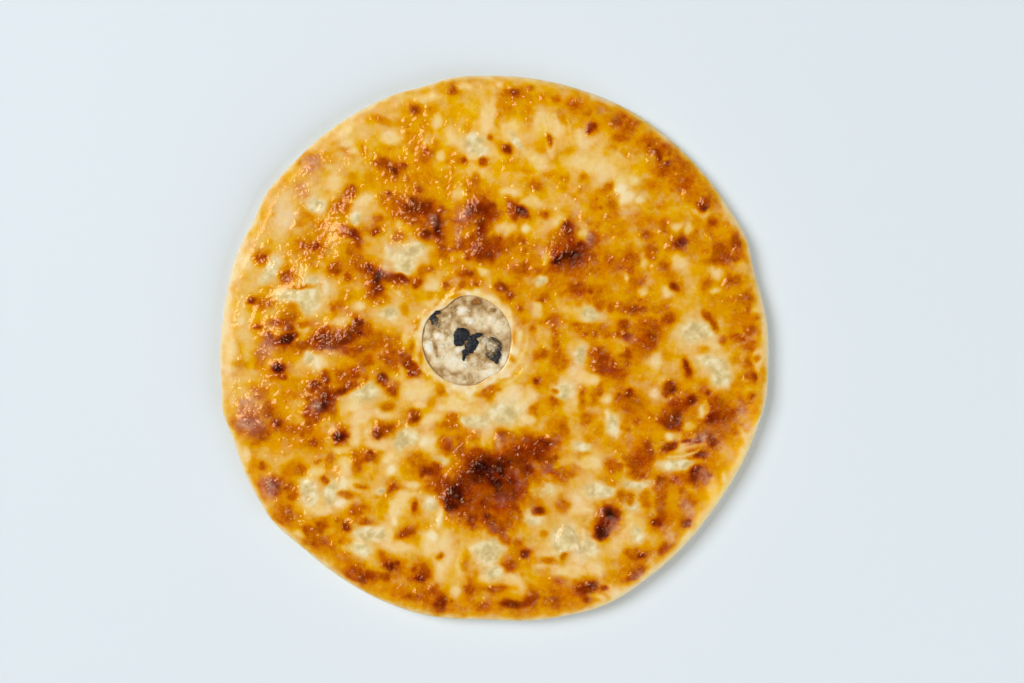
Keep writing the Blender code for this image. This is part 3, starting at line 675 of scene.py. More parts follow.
    (474, 285, 4, 2.5), (256, 327, 4, 3), (250, 300, 5, 4), (425, 235, 8, 6), (437, 226, 7, 14),
    (484, 228, 6, 14), (484, 250, 10, 10), (492, 210, 10, 10), (476, 207, 10, 8), (460, 218, 4, 3),
    (420, 209, 17, 9, -8), (440, 238, 6, 5), (461, 246, 5, 4), (500, 478, 36, 22, -15), (528, 455, 18, 9, 5),
    (480, 500, 20, 14), (406, 214, 12, 7), (512, 211, 6, 9), (358, 240, 4, 8), (309, 415, 5, 16),
    (600, 367, 9, 8), (680, 405, 10, 10), (722, 412, 11, 16), (530, 441, 13, 8), (640, 457, 7, 9),
    (440, 487, 6, 13), (370, 576, 9, 6), (528, 602, 8, 4), (664, 550, 7, 7), (724, 250, 8, 8),
    (402, 165, 6, 4), (415, 421, 6, 5), (570, 262, 15, 7), (607, 520, 18, 9), (480, 495, 24, 9),
    (540, 456, 15, 6), (410, 219, 9, 8), (475, 213, 9, 9), (490, 240, 14, 8), (350, 385, 10, 6),
    (306, 347, 12, 5), (280, 320, 12, 4, 15), (609, 524, 9, 9), (548, 467, 15, 6, -40), (503, 503, 18, 10),
    (330, 338, 16, 6), (392, 279, 11, 5, -25), (567, 242, 9, 12), (565, 555, 5, 3, 30), (592, 241, 5, 7),
    (470, 210, 7, 5), (482, 246, 7, 12), (275, 487, 8, 10), (395, 490, 6, 5), (641, 574, 5, 5),
    (505, 495, 22, 10), (690, 526, 9, 6, -30), (566, 232, 6, 7), (700, 455, 6, 4), (330, 345, 20, 4, -10),
    (264, 438, 6, 6), (705, 476, 5, 8), (660, 481, 6, 4), (633, 463, 7, 7), (520, 474, 10, 5),
    (384, 578, 8, 4), (326, 480, 4, 5), (556, 270, 5, 4), (267, 340, 4, 7), (413, 506, 4, 6),
    (444, 494, 4, 6), (549, 141, 3, 6), (324, 377, 4, 7, 35), (318, 389, 4, 4), (632, 586, 5, 4),
    (268, 342, 5, 3), (280, 376, 5, 3), (317, 388, 4, 4), (386, 384, 3, 5), (437, 468, 4, 7),
    (338, 333, 5, 4), (520, 470, 12, 6), (490, 520, 6, 5), (472, 518, 5, 5), (564, 556, 3.5, 1.8),
), Bake.DARK: (
    (394, 170, 5, 5), (591, 128, 5, 7), (506, 149, 5, 5), (659, 156, 4, 5), (705, 205, 4, 3),
    (522, 212, 9, 5, -40), (569, 228, 7, 6), (680, 242, 8, 7), (675, 286, 5, 5), (289, 338, 12, 6, 20),
    (353, 328, 7, 4, -30), (358, 322, 7, 5, -40), (337, 340, 16, 5, 12), (325, 336, 5, 4),
    (410, 364, 5, 5, -40), (383, 378, 4, 6), (313, 384, 5, 4), (327, 395, 9, 7, -40), (342, 392, 6, 5),
    (340, 436, 8, 7), (277, 423, 5, 4, -30), (670, 387, 7, 7.5), (691, 399, 5, 5), (628, 392, 4, 5),
    (671, 422, 11, 6), (714, 420, 7, 6), (670, 446, 7, 5), (698, 471, 5, 6), (688, 369, 9, 3.5, -70),
    (275, 485, 6, 5), (346, 527, 4, 4), (363, 581, 4, 4), (391, 569, 4, 3.5), (417, 578, 5, 3.5),
    (441, 604, 6, 9), (428, 471, 7, 5), (540, 509, 6, 4), (525, 552, 5, 5), (656, 520, 7, 5),
    (642, 555, 6, 3, 30), (695, 476, 6, 8), (588, 589, 12, 6, 20), (511, 604, 10, 4.5), (517, 457, 14, 8),
    (535, 452, 12, 6), (607, 513, 9, 8), (602, 530, 9, 8), (378, 287, 7, 9), (397, 277, 8, 3.5),
    (437, 226, 5, 12), (420, 210, 14, 7, -8), (483, 211, 10, 8), (482, 226, 4, 8), (485, 251, 8, 8),
    (378, 434, 6, 5), (459, 491, 12, 13, -40), (415, 421, 3, 3), (411, 373, 4, 4), (517, 211, 5, 4),
    (290, 326, 6, 5), (466, 480, 10, 14), (570, 262, 11, 5), (330, 338, 12, 4), (576, 250, 10, 8),
    (697, 440, 9, 3, 35), (486, 466, 22, 14, -5), (498, 485, 14, 8), (378, 280, 7, 10), (371, 266, 4, 4),
    (330, 344, 10, 5), (503, 494, 8, 5), (528, 468, 8, 4), (712, 440, 4, 6), (698, 457, 6, 4),
    (690, 526, 5, 4), (637, 579, 5, 3), (605, 522, 9, 8), (470, 210, 4, 5), (688, 441, 6, 2.5, 20),
    (449, 494, 4, 7), (505, 480, 14, 9), (449, 500, 5, 9), (521, 452, 14, 6), (541, 446, 12, 6),
    (505, 490, 14, 7),
), Bake.CHARRED: (
    (557, 262, 5, 4, -10), (566, 258, 10, 4, 10), (289, 340, 8, 4, 15), (277, 367, 5, 5), (322, 408, 7, 6),
    (455, 493, 7, 12, -25), (602, 531, 7, 6), (609, 515, 5, 5), (438, 229, 3, 8), (341, 437, 4, 4),
    (495, 482, 6, 4), (452, 506, 6, 6), (483, 470, 14, 9, 10), (501, 467, 9, 7), (379, 277, 2.5, 5),
)}


@dataclass(frozen=True)
class Fold:
    """A crease in the dough: a ridge, or a groove where its height is negative, along a line of pixels."""

    line: tuple[tuple[float, float], ...]
    half: float
    height: float
    taper: float = 0.2

    def lift(self, points: np.ndarray) -> np.ndarray:
        """Lifts the dough most along the fold's line, and less towards both of its ends.

        Args:
            points: rows of x, y, z.

        Returns:
            How far each point is lifted.
        """
        places = [PHOTO.on_lid(*pixel)[:2] for pixel in self.line]
        lengths = [float(np.hypot(*(b - a))) for a, b in zip(places, places[1:])]
        whole = sum(lengths)
        half = PHOTO.length_on_lid(self.half)
        lift = np.zeros(len(points))
        done = 0.0
        for start, end, length in zip(places, places[1:], lengths):
            across = points[:, :2] - start
            way = (end - start) / length
            along = np.clip(across @ way, 0, length)
            away = np.hypot(*(across - np.outer(along, way)).T)
            share = (done + along) / whole
            fade = smooth(np.minimum(share, 1 - share) / self.taper)
            lift = np.maximum(lift, np.exp(-((away / half) ** 2)) * fade)
            done += length
        return self.height * lift


@dataclass(frozen=True)
class Relief:
    """What stands out of the lid: air blisters, lumps of filling, small bubbles, folds and a crinkled skin.
    """

    # Place and radius in pixels, and height.
    blisters: tuple[tuple[float, float, float, float], ...] = (
        (283, 336, 20, 0.0022), (278, 367, 10, 0.0016), (342, 336, 20, 0.0015), (326, 398, 16, 0.0020),
        (382, 278, 16, 0.0018), (350, 231, 14, 0.0013), (420, 209, 17, 0.0018), (483, 214, 17, 0.0018),
        (487, 250, 12, 0.0014), (520, 211, 11, 0.0013), (568, 250, 24, 0.0022), (680, 242, 11, 0.0013),
        (247, 424, 18, 0.0016), (340, 436, 10, 0.0014), (384, 431, 11, 0.0013), (616, 374, 16, 0.0013),
        (484, 470, 27, 0.0012), (457, 497, 15, 0.0013), (607, 521, 14, 0.0021), (671, 418, 16, 0.0016),
        (686, 432, 24, 0.0013), (702, 440, 14, 0.0018), (589, 590, 15, 0.0010),
    )
    lumps: tuple[tuple[float, float, float, float], ...] = (
        (369, 393, 17, 0.0019), (366, 542, 20, 0.0016), (486, 555, 21, 0.0017), (411, 251, 21, 0.0016),
        (306, 291, 23, 0.0014), (273, 268, 12, 0.0017), (570, 545, 20, 0.0021), (627, 196, 15, 0.0015),
        (712, 366, 22, 0.0014), (474, 147, 16, 0.0011), (440, 535, 19, 0.0013), (313, 484, 15, 0.0013),
        (344, 482, 13, 0.0012), (601, 492, 16, 0.0010), (677, 462, 15, 0.0008),
    )
    folds: tuple[Fold, ...] = (
        Fold(((662, 456), (672, 457), (684, 456), (696, 452), (703, 447)), 1.5, 0.0007),
        Fold(((704, 398), (708, 406), (707, 416)), 2.2, 0.0005),
        Fold(((556, 550), (559, 538), (564, 530), (571, 526)), 1.9, 0.0018),
        Fold(((562, 524), (571, 531), (577, 543), (579, 557)), 1.9, 0.0017),
        Fold(((583, 526), (585, 540), (584, 554)), 1.8, 0.0013),
        Fold(((571, 536), (574, 546), (572, 554)), 1.5, -0.0009),
        Fold(((634, 519), (628, 528), (618, 539)), 1.8, 0.0006),
        Fold(((494, 378), (508, 373), (519, 362), (526, 348), (528, 332)), 2.0, 0.0006),
        Fold(((498, 386), (513, 380), (525, 369), (532, 356)), 1.8, 0.0005),
        Fold(((500, 405), (510, 396), (518, 385)), 1.5, 0.0005),
        Fold(((507, 409), (517, 399), (525, 388)), 1.5, 0.0005),
        Fold(((512, 414), (522, 404), (531, 394)), 1.4, 0.0004),
        Fold(((338, 476), (336, 487), (332, 498)), 2.0, 0.0006),
        Fold(((541, 112), (545, 122), (547, 134)), 1.6, 0.0004),
        Fold(((554, 110), (558, 122), (559, 136)), 1.6, 0.0004),
        Fold(((567, 116), (570, 128), (571, 142)), 1.6, 0.0004),
        Fold(((578, 126), (581, 137), (581, 148)), 1.6, 0.0004),
        Fold(((262, 262), (272, 274), (284, 270)), 2.0, -0.0006),
    )
    sag_spacing: float = 0.024
    sag_depth: float = 0.0011
    bubble_count: int = 2300
    bubble_seed: int = 5
    bubble_radius: tuple[float, float] = (0.0013, 0.0034)
    bubble_height: tuple[float, float] = (0.00052, 0.00140)
    bubble_halo: float = 1.35
    # How baked the dough is where bubbles start, by how much more they are whole, and their height before.
    bubble_heat: tuple[float, float, float] = (0.20, 0.36, 0.25)
    # How much further baked a bubble's top is, and the share of bubbles up to it.
    browning: tuple[tuple[float, float], ...] = ((-0.03, 0.60), (0.06, 0.90), (0.15, 1.0))
    skin_spacing: float = 0.0046
    skin_height: float = 0.00020
    # The crinkle's strength on raw dough, and what full baking adds.
    skin_strength: tuple[float, float] = (0.35, 1.3)

    def large(self, points: np.ndarray) -> np.ndarray:
        """Lifts the lid over blisters and lumps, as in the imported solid.

        Args:
            points: rows of x, y, z.

        Returns:
            How far each point is lifted.
        """
        lift = np.zeros(len(points))
        for px, py, radius, height in self.blisters + self.lumps:
            half = PHOTO.length_on_lid(radius)
            lift = np.maximum(lift, height * bell(points, PHOTO.on_lid(px, py), (half, half), 0, 2))
        flat = points * (1, 1, 0)
        return lift + self.sag_depth * noise_at(flat, self.sag_spacing, 0)

    def creased(self, points: np.ndarray) -> np.ndarray:
        """How far the folds lift each point."""
        return sum(fold.lift(points) for fold in self.folds)

    def bubbles(self, points: np.ndarray, toast: np.ndarray) -> tuple[np.ndarray, np.ndarray]:
        """Small bubbles in the skin, which stand higher where it is toasted, and brown on top.

        Args:
            points: rows of x, y, z.
            toast: how far each point is baked.

        Returns:
            How far they lift each point, and how much further they are baked.
        """
        dice = random.Random(self.bubble_seed)
        lift = np.zeros(len(points))
        browned = np.zeros(len(points))
        start, span, least = self.bubble_heat
        order = np.argsort(points[:, 0])
        sorted_x = points[order, 0]
        for _ in range(self.bubble_count):
            reach = OUTLINE.radius * math.sqrt(dice.random())
            angle = dice.uniform(0, math.tau)
            size = dice.random() ** 2
            chance = dice.random()
            burnt = next(browner for browner, up_to in self.browning if chance <= up_to)
            half = self.bubble_radius[0] + (self.bubble_radius[1] - self.bubble_radius[0]) * size
            height = self.bubble_height[0] + (self.bubble_height[1] - self.bubble_height[0]) * size
            x, y = reach * math.cos(angle), reach * math.sin(angle)
            wide = half * self.bubble_halo
            near = order[np.searchsorted(sorted_x, x - wide) : np.searchsorted(sorted_x, x + wide)]
            near = near[np.abs(points[near, 1] - y) < wide]
            away = np.hypot(points[near, 0] - x, points[near, 1] - y) / half
            heat = smooth((toast[near] - start) / span)
            dome = np.clip(1 - away * away, 0, 1) ** 1.5
            lift[near] = np.maximum(lift[near], height * dome * (least + (1 - least) * heat))
            halo = smooth(1.25 * (1 - away / self.bubble_halo))
            browned[near] = np.maximum(browned[near], burnt * halo * heat)
        return lift, browned

    def skin(self, points: np.ndarray, toast: np.ndarray) -> np.ndarray:
        """Crinkles the skin, more where it is toasted.

        Args:
            points: rows of x, y, z.
            toast: how far each point is baked.

        Returns:
            How far each point is lifted.
        """
        least, more = self.skin_strength
        rough = noise_at(points * (1, 1, 0), self.skin_spacing, 3, 3)
        return self.skin_height * rough * (least + more * toast)


@dataclass(frozen=True)
class Oven:
    """How far each point of the dough is baked, from 0, raw and cream, to 1, charred."""

    middle: float = 0.325
    # Which way the dough grows browner, and how much; its paler upper left is partly painted sheen of the
    # lamp.
    darker_side: tuple[float, float, float] = (0.94, -0.34, 0.0)
    darker_by: float = 0.05
    broad: tuple[float, float] = (0.040, 0.06)
    patchy: tuple[float, float] = (0.013, 0.08)
    spots: tuple[float, float, float] = (0.0065, 0.20, 0.12)
    warp: tuple[tuple[float, float], ...] = ((0.012, 0.0022), (0.0042, 0.0011))
    ragged: tuple[tuple[float, float], ...] = ((0.0062, 0.26), (0.0028, 0.12))
    patch_power: float = 2.3
    patch_reach: float = 1.35
    # How much of its own level each kind of patch takes, in the order in which they are laid.
    patch_strength: dict[Bake, float] = field(default_factory=lambda: {
        Bake.STRAW: 0.62, Bake.AMBER: 0.80, Bake.CREAM: 0.80, Bake.WET: 0.92, Bake.RAW_AND_HIGHLIGHT: 0.75,
        Bake.TAWNY: 0.85, Bake.BROWN: 0.90, Bake.DARK: 0.92, Bake.CHARRED: 0.95})
    # How far the golden halo of a browned patch reaches in pixels, its level and its strength.
    halos: dict[Bake, float] = field(default_factory=lambda: {
        Bake.TAWNY: 3.0, Bake.BROWN: 5.0, Bake.DARK: 8.0, Bake.CHARRED: 10.0})
    halo_level: float = 0.55
    halo_strength: float = 0.75
    # The same for the pale halo round a wet patch.
    soaked: tuple[float, float, float] = (7.0, 0.19, 0.70)
    # Painted sheen: where light glancing off the butter is painted as a pale pink haze: middle and half sizes
    # in pixels, and the turn.
    painted_sheen_spots: Ovals = (
        (284, 212, 12, 18), (248, 424, 13, 9), (265, 350, 8, 8), (303, 190, 8, 10), (312, 165, 10, 12),
        (245, 403, 12, 12), (697, 441, 14, 4, 35), (748, 430, 6, 12, 20), (693, 527, 5, 4), (641, 578, 6, 3),
        (269, 488, 7, 10), (330, 352, 10, 5), (656, 392, 5, 6), (386, 271, 5, 4, 40), (370, 220, 5, 5),
        (392, 245, 7, 7), (433, 222, 3, 4), (464, 214, 5, 6), (458, 232, 3, 9), (577, 211, 2.5, 8),
        (588, 240, 4, 5), (627, 213, 7, 5), (540, 252, 4, 4), (316, 408, 4, 5), (500, 442, 3, 5),
        (585, 128, 3, 5), (728, 452, 5, 11, 35), (710, 482, 5, 10, 35), (690, 512, 5, 10, 40),
        (672, 536, 4, 8, 45), (744, 412, 4, 9, 20),
    )
    # How strong the painted sheen is.
    painted_sheen: float = 0.55
    # Angle and half width in degrees, and the width in metres, of the pale band along the rim.
    pale_rim: Waves = (
        (0, 360, 0.0024), (336, 12, 0.0056), (319, 17, 0.0058), (300, 14, 0.0048), (168, 20, 0.0042),
        (205, 12, 0.0030), (60, 34, 0.0024), (4, 12, 0.0048), (27, 10, 0.0040),
    )
    pale: float = 0.06
    pale_fade: float = 0.0054
    # Spacing in metres and strength of the noise that makes the band uneven.
    pale_uneven: tuple[float, float] = (0.008, 0.0020)
    # The same for the pale ring round the vent: its width, level, fade and strength.
    vent_ring: float = 0.0048
    vent_ring_level: float = 0.09
    vent_ring_fade: float = 0.0030
    vent_ring_strength: float = 0.85
    vent_ring_uneven: tuple[float, float] = (0.009, 0.0040)
    vent_ring_patchy: tuple[float, float] = (0.005, 0.18)
    # Baked marks on the vent's ring: middle and half sizes in pixels, and the turn.
    ring_marks: Ovals = (
        (456, 296, 7, 2.5, 15), (430, 296, 4, 4, -40), (512, 359, 3, 6, 35), (495, 388, 6, 2.5, -10),
        (441, 388, 5, 4), (470, 287, 6, 3.5), (505, 300, 5, 6, 40), (514, 336, 2.5, 7), (421, 357, 2.5, 9),
    )
    mark_strength: float = 0.8
    # How much stronger the dough's golden tone is where butter pooled, and weaker where steam came through;
    # the ovals along the lower right rim are painted light, which brightens the edge that turns from the
    # lamp: middle and half sizes in pixels, and the change.
    gold_and_rim_light_ovals: tuple[tuple[float, float, float, float, float], ...] = (
        (480, 150, 110, 80, 0.05), (560, 505, 85, 60, -0.04), (753, 424, 10, 22, 0.2),
        (738, 458, 12, 20, 0.2), (718, 493, 14, 20, 0.2), (696, 524, 14, 14, 0.14),
    )
    # How high the browned patches puffed up, and the kinds that are too thick to see through.
    puff: dict[Bake, float] = field(default_factory=lambda: {
        Bake.TAWNY: 0.0002, Bake.BROWN: 0.0004, Bake.DARK: 0.0004, Bake.CHARRED: 0.0002, Bake.RAW_AND_HIGHLIGHT: 0.0003})
    dry: tuple[Bake, ...] = (Bake.TAWNY, Bake.BROWN, Bake.DARK, Bake.CHARRED)

    def warped(self, points: np.ndarray) -> np.ndarray:
        """Pushes points about, so that patches get uneven edges.

        Args:
            points: rows of x, y, z.

        Returns:
            The same rows, moved and laid flat.
        """
        flat = points * (1, 1, 0)
        moved = flat.copy()
        for number, (spacing, reach) in enumerate(self.warp):
            moved[:, 0] += reach * noise_at(flat, spacing, 11 + number)
            moved[:, 1] += reach * noise_at(flat, spacing, 21 + number)
        return moved

    def oval_weights(self, points: np.ndarray, ovals: Ovals, power: float,
                     around: float = 0.0) -> np.ndarray:
        """The weight of a table of ovals at each point.

        Args:
            points: rows of x, y, z.
            ovals: their middles and half sizes in pixels, and the turn of some.
            power: how steep their edges are.
            around: how much further they reach, in pixels.

        Returns:
            0 where there is none, to 1.
        """
        weight = np.zeros(len(points))
        for px, py, wide, high, *lean in ovals:
            half = (PHOTO.length_on_lid(wide + around), PHOTO.length_on_lid(high + around))
            turn = lean[0] if lean else 0.0
            weight = np.maximum(weight, bell(points, PHOTO.on_lid(px, py), half, turn, power))
        return np.minimum(self.patch_reach * weight, 1)

    def toast(self, points: np.ndarray) -> tuple[np.ndarray, np.ndarray, np.ndarray]:
        """Bakes the lid.

        Args:
            points: one row of x, y, z for each point of the lid.

        Returns:
            How far each point is baked, how much wet filling shows through there, and how far it puffed up.
        """
        flat = points * (1, 1, 0)
        level = self.middle + self.darker_by * (points @ self.darker_side) / OUTLINE.radius
        for number, (spacing, strength) in enumerate((self.broad, self.patchy)):
            level += strength * noise_at(flat, spacing, 31 + number, 2)
        spacing, strength, above = self.spots
        level += strength * np.maximum(noise_at(flat, spacing, 36, 2) - above, 0)
        moved = self.warped(points)
        uneven = sum(s * noise_at(flat, d, 41 + n, 2) for n, (d, s) in enumerate(self.ragged))
        wet = self.oval_weights(moved, PATCHES[Bake.WET], self.patch_power)
        puffed = np.zeros(len(points))
        around, soft, strength = self.soaked
        share = strength * self.oval_weights(moved, PATCHES[Bake.WET], 2.0, around)
        level += share * (soft - level)
        for kind, around in self.halos.items():
            share = self.halo_strength * self.oval_weights(moved, PATCHES[kind], 2.0, around)
            level += share * np.maximum(self.halo_level - level, 0)
        for kind, strength in self.patch_strength.items():
            share = self.oval_weights(moved, PATCHES[kind], self.patch_power)
            edge = strength * np.clip(share + uneven * 4 * share * (1 - share), 0, 1)
            level += edge * (kind.value - level)
            puffed += edge * self.puff.get(kind, 0.0)
            wet *= 1 - edge * (kind in self.dry)
        return level, wet, puffed

    def faded_rim(self, points: np.ndarray, inward: np.ndarray, level: np.ndarray) -> np.ndarray:
        """Leaves the dough pale along the rim, where it turned away from the oven's heat.

        Args:
            points: rows of x, y, z.
            inward: how far each point is from the pie's edge.
            level: how far each point is baked.

        Returns:
            How far each point is baked with the pale band.
        """
        angle = np.degrees(np.arctan2(points[:, 1], points[:, 0]))
        width = np.zeros(len(points))
        for middle, half, reach in self.pale_rim:
            away = (angle - middle + 180) % 360 - 180
            width = np.maximum(width, reach * np.exp(-((away / half) ** 2)))
        spacing, strength = self.pale_uneven
        uneven = strength * noise_at(points * (1, 1, 0), spacing, 45, 2)
        share = 1 - smooth((inward - width - uneven) / self.pale_fade + 0.5)
        return level + share * (self.pale + 0.1 * level - level)

    def faded_vent(self, points: np.ndarray, outward: np.ndarray, level: np.ndarray) -> np.ndarray:
        """Leaves the dough pale round the vent, where the filling's steam kept it moist.

        Args:
            points: rows of x, y, z.
            outward: how far each point is from the vent's edge.
            level: how far each point is baked.

        Returns:
            How far each point is baked with the pale ring.
        """
        flat = points * (1, 1, 0)
        spacing, strength = self.vent_ring_uneven
        from_ring = outward - self.vent_ring - strength * noise_at(flat, spacing, 47, 2)
        share = self.vent_ring_strength * (1 - smooth(from_ring / self.vent_ring_fade + 0.5))
        spacing, strength = self.vent_ring_patchy
        level = level + share * (self.vent_ring_level + strength * noise_at(flat, spacing, 48, 2) - level)
        marked = self.mark_strength * self.oval_weights(points, self.ring_marks, 2.0)
        return level + marked * (Bake.AMBER.value - level)

    def painted_sheen_weight(self, points: np.ndarray) -> np.ndarray:
        """How strong the painted sheen of the lamp on the butter is at each point."""
        return self.painted_sheen * self.oval_weights(self.warped(points), self.painted_sheen_spots, 2.0)

    def gold_and_rim_light(self, points: np.ndarray) -> np.ndarray:
        """Adds up where the dough's golden tone is stronger or weaker, and the painted light along the rim.

        Args:
            points: rows of x, y, z.

        Returns:
            The change at each point.
        """
        change = np.zeros(len(points))
        for px, py, wide, high, amount in self.gold_and_rim_light_ovals:
            half = (PHOTO.length_on_lid(wide), PHOTO.length_on_lid(high))
            change += amount * bell(points, PHOTO.on_lid(px, py), half, 0, 2)
        return change


@dataclass(frozen=True)
class BakedDough:
    """Soft yeast dough, baked in a hot oven and brushed with melted butter.

    Baked starch is matt and slightly see-through, from straw to a deep orange brown, and the butter gives it
    a thin clear coat that sparkles on each bubble.
    """

    # Raw to charred: flour and milk at 0, and caramel to char at 1.
    tones: tuple[tuple[float, str], ...] = (
        (0.00, "FFF3D9"), (0.07, "FDE7B5"), (0.14, "FADA9A"), (0.21, "F5CB7C"), (0.29, "EFBB5E"),
        (0.36, "E8AB40"), (0.43, "E29920"), (0.50, "D7830C"), (0.57, "C66B05"), (0.64, "B15202"),
        (0.71, "9A3E01"), (0.79, "802D01"), (0.86, "651E01"), (0.93, "4A1101"), (1.00, "330700"),
    )
    wet_tones: tuple[tuple[float, str], ...] = ((0.34, "C8B078"), (0.50, "E4D096"), (0.66, "FAEEC8"))
    # The painted sheen's colour: a pale pink where light glances off the butter.
    painted_sheen_hex: str = "F0C4A2"
    # Spacing in metres of the gaps in the painted sheen, and what the noise's 0 and 1 become.
    painted_sheen_gaps: tuple[float, float, float] = (0.0030, -0.60, 1.60)
    # Spacing in metres, and how far the noise shifts how baked the dough is.
    mottle: tuple[tuple[float, float], ...] = ((0.0008, 0.10), (0.0014, 0.10), (0.0034, 0.22), (0.0070, 0.18))
    # Spacing in metres, middle and span of the shifts in hue and in saturation.
    hue: tuple[float, float, float] = (0.0090, 0.4975, 0.034)
    chroma: tuple[float, float, float] = (0.0085, 1.05, 0.46)
    # How much brighter the dough is where its golden tone is stronger, and where the rim's painted light
    # falls.
    gold_value: float = 0.55
    # Spacings in metres of the bubbles, the wrinkles, and the filling that shows through.
    pebble: float = 0.0021
    wrinkle: float = 0.0036
    filling_grain: float = 0.0052
    # How many stretch lines run round the vent, how long they are in metres, and their strength.
    stretch: tuple[float, float, float] = (58.0, 0.0060, 0.8)
    # Spacing in metres of the bubbled, pulled and scorched places, and what the noise's 0 and 1 become.
    bubbled: tuple[float, float, float] = (0.0080, -2.0, 3.0)
    pulled: tuple[float, float, float] = (0.016, -5.2, 4.8)
    scorch: tuple[float, float, float] = (0.0085, -3.8, 3.2)
    bubble_depth: float = -1.3
    relief: float = 0.00038
    roughness: float = 0.17
    dry_roughness: float = 0.60
    shine: float = 0.36
    shine_hex: str = "FFC27C"
    butter: float = 0.26
    butter_roughness: float = 0.05

    def noise(self, tree: NodeTree, place: Node | NodeSocket, spacing: float, low: float,
              high: float) -> Node:
        """Adds soft noise that runs between two numbers.

        Args:
            tree: the material's node tree.
            place: the coordinates.
            spacing: the size of the noise's features, in metres.
            low: what the noise's 0 becomes.
            high: what the noise's 1 becomes.

        Returns:
            The number's node.
        """
        made = add_node(tree, "TexNoise", {"Vector": place, "Scale": 1 / spacing, "Detail": 2.0,
                                           "Roughness": 0.5})
        return add_node(tree, "Math", {0: made, 1: high - low, 2: low}, operation="MULTIPLY_ADD")

    def heat(self, tree: NodeTree, place: NodeSocket, toast: NodeSocket, base: NodeSocket) -> Node:
        """Adds brown spots on the base, and mottles that grow with the baking.

        Args:
            tree: the material's node tree.
            place: the coordinates.
            toast: how far each point is baked.
            base: how much of the base's scorching each point has.

        Returns:
            The node of how far each point is baked in the end.
        """
        wide = add_node(tree, "MapRange", {"Value": toast, "From Min": 0.12, "From Max": 0.50,
                                           "To Min": 0.35, "To Max": 1.0})
        scorched = self.noise(tree, place, *self.scorch)
        scorched = add_node(tree, "Math", {0: scorched, 1: 0.0}, operation="MAXIMUM")
        level = add_node(tree, "Math", {0: scorched, 1: base, 2: toast}, operation="MULTIPLY_ADD")
        for spacing, strength in self.mottle:
            change = self.noise(tree, place, spacing, -strength / 2, strength / 2)
            level = add_node(tree, "Math", {0: change, 1: wide, 2: level}, operation="MULTIPLY_ADD")
        return level

    def colour(self, tree: NodeTree, place: NodeSocket, level: Node, wet: NodeSocket,
               painted_sheen: NodeSocket) -> NodeSocket:
        """Gives the dough its baked tone, the filling that shows through, and a painted sheen where light
        glances off the butter.

        Args:
            tree: the material's node tree.
            place: the coordinates.
            level: how far each point is baked.
            wet: how much of the filling shows through.
            painted_sheen: how strong the painted sheen is.

        Returns:
            The colour's socket.
        """
        tone = add_node(tree, "ValToRGB", {"Fac": level})
        set_ramp(tone, dict(self.tones))
        hue, chroma = (self.noise(tree, place, spacing, middle - span / 2, middle + span / 2)
                       for spacing, middle, span in (self.hue, self.chroma))
        gold_and_rim_light = add_node(tree, "Attribute", attribute_name="gold_and_rim_light").outputs["Fac"]
        chroma = add_node(tree, "Math", {0: chroma, 1: gold_and_rim_light}, operation="ADD")
        value = add_node(tree, "Math", {0: gold_and_rim_light, 1: self.gold_value, 2: 1.0}, operation="MULTIPLY_ADD")
        varied = add_node(tree, "HueSaturation", {"Color": tone, "Hue": hue, "Saturation": chroma,
                                                  "Value": value})
        under = self.noise(tree, place, self.filling_grain, 0.0, 1.0)
        seen = add_node(tree, "ValToRGB", {"Fac": under})
        set_ramp(seen, dict(self.wet_tones))
        thin = add_node(tree, "MapRange", {"Value": level, "From Min": 0.20, "From Max": 0.42,
                                           "To Min": 0.80, "To Max": 0.0})
        share = add_node(tree, "Math", {0: wet, 1: thin}, operation="MULTIPLY")
        soaked = add_node(tree, "Mix", {"Factor": share, 6: varied, 7: seen}, data_type="RGBA")
        broken = self.noise(tree, place, *self.painted_sheen_gaps)
        painted_sheen_weight = add_node(tree, "Math", {0: painted_sheen, 1: broken}, operation="MULTIPLY", use_clamp=True)
        with_painted_sheen = add_node(tree, "Mix", {"Factor": painted_sheen_weight, 6: soaked.outputs[2],
                                        7: hex_to_linear(self.painted_sheen_hex)}, data_type="RGBA")
        return with_painted_sheen.outputs[2]

    def stretched(self, tree: NodeTree, place: NodeSocket) -> Node:
        """Adds fine lines that run out from the vent, where the dough was pulled open.

        Args:
            tree: the material's node tree.
            place: the coordinates.

        Returns:
            The node of the lines' height.
        """
        count, length, strength = self.stretch
        away = add_node(tree, "VectorMath", {0: place, 1: tuple(OUTLINE.vent)}, operation="SUBTRACT")
        flat = add_node(tree, "VectorMath", {0: away, 1: (1, 1, 0)}, operation="MULTIPLY")
        reach = add_node(tree, "VectorMath", {0: flat}, operation="LENGTH")
        way = add_node(tree, "VectorMath", {0: flat}, operation="NORMALIZE")
        around = add_node(tree, "VectorMath", {0: way, "Scale": count}, operation="SCALE")
        out = add_node(tree, "Math", {0: reach.outputs["Value"], 1: 1 / length}, operation="MULTIPLY")
        along = add_node(tree, "CombineXYZ", {"Z": out})
        both = add_node(tree, "VectorMath", {0: around, 1: along}, operation="ADD")
        return self.noise(tree, both, 1.0, -strength / 2, strength / 2)

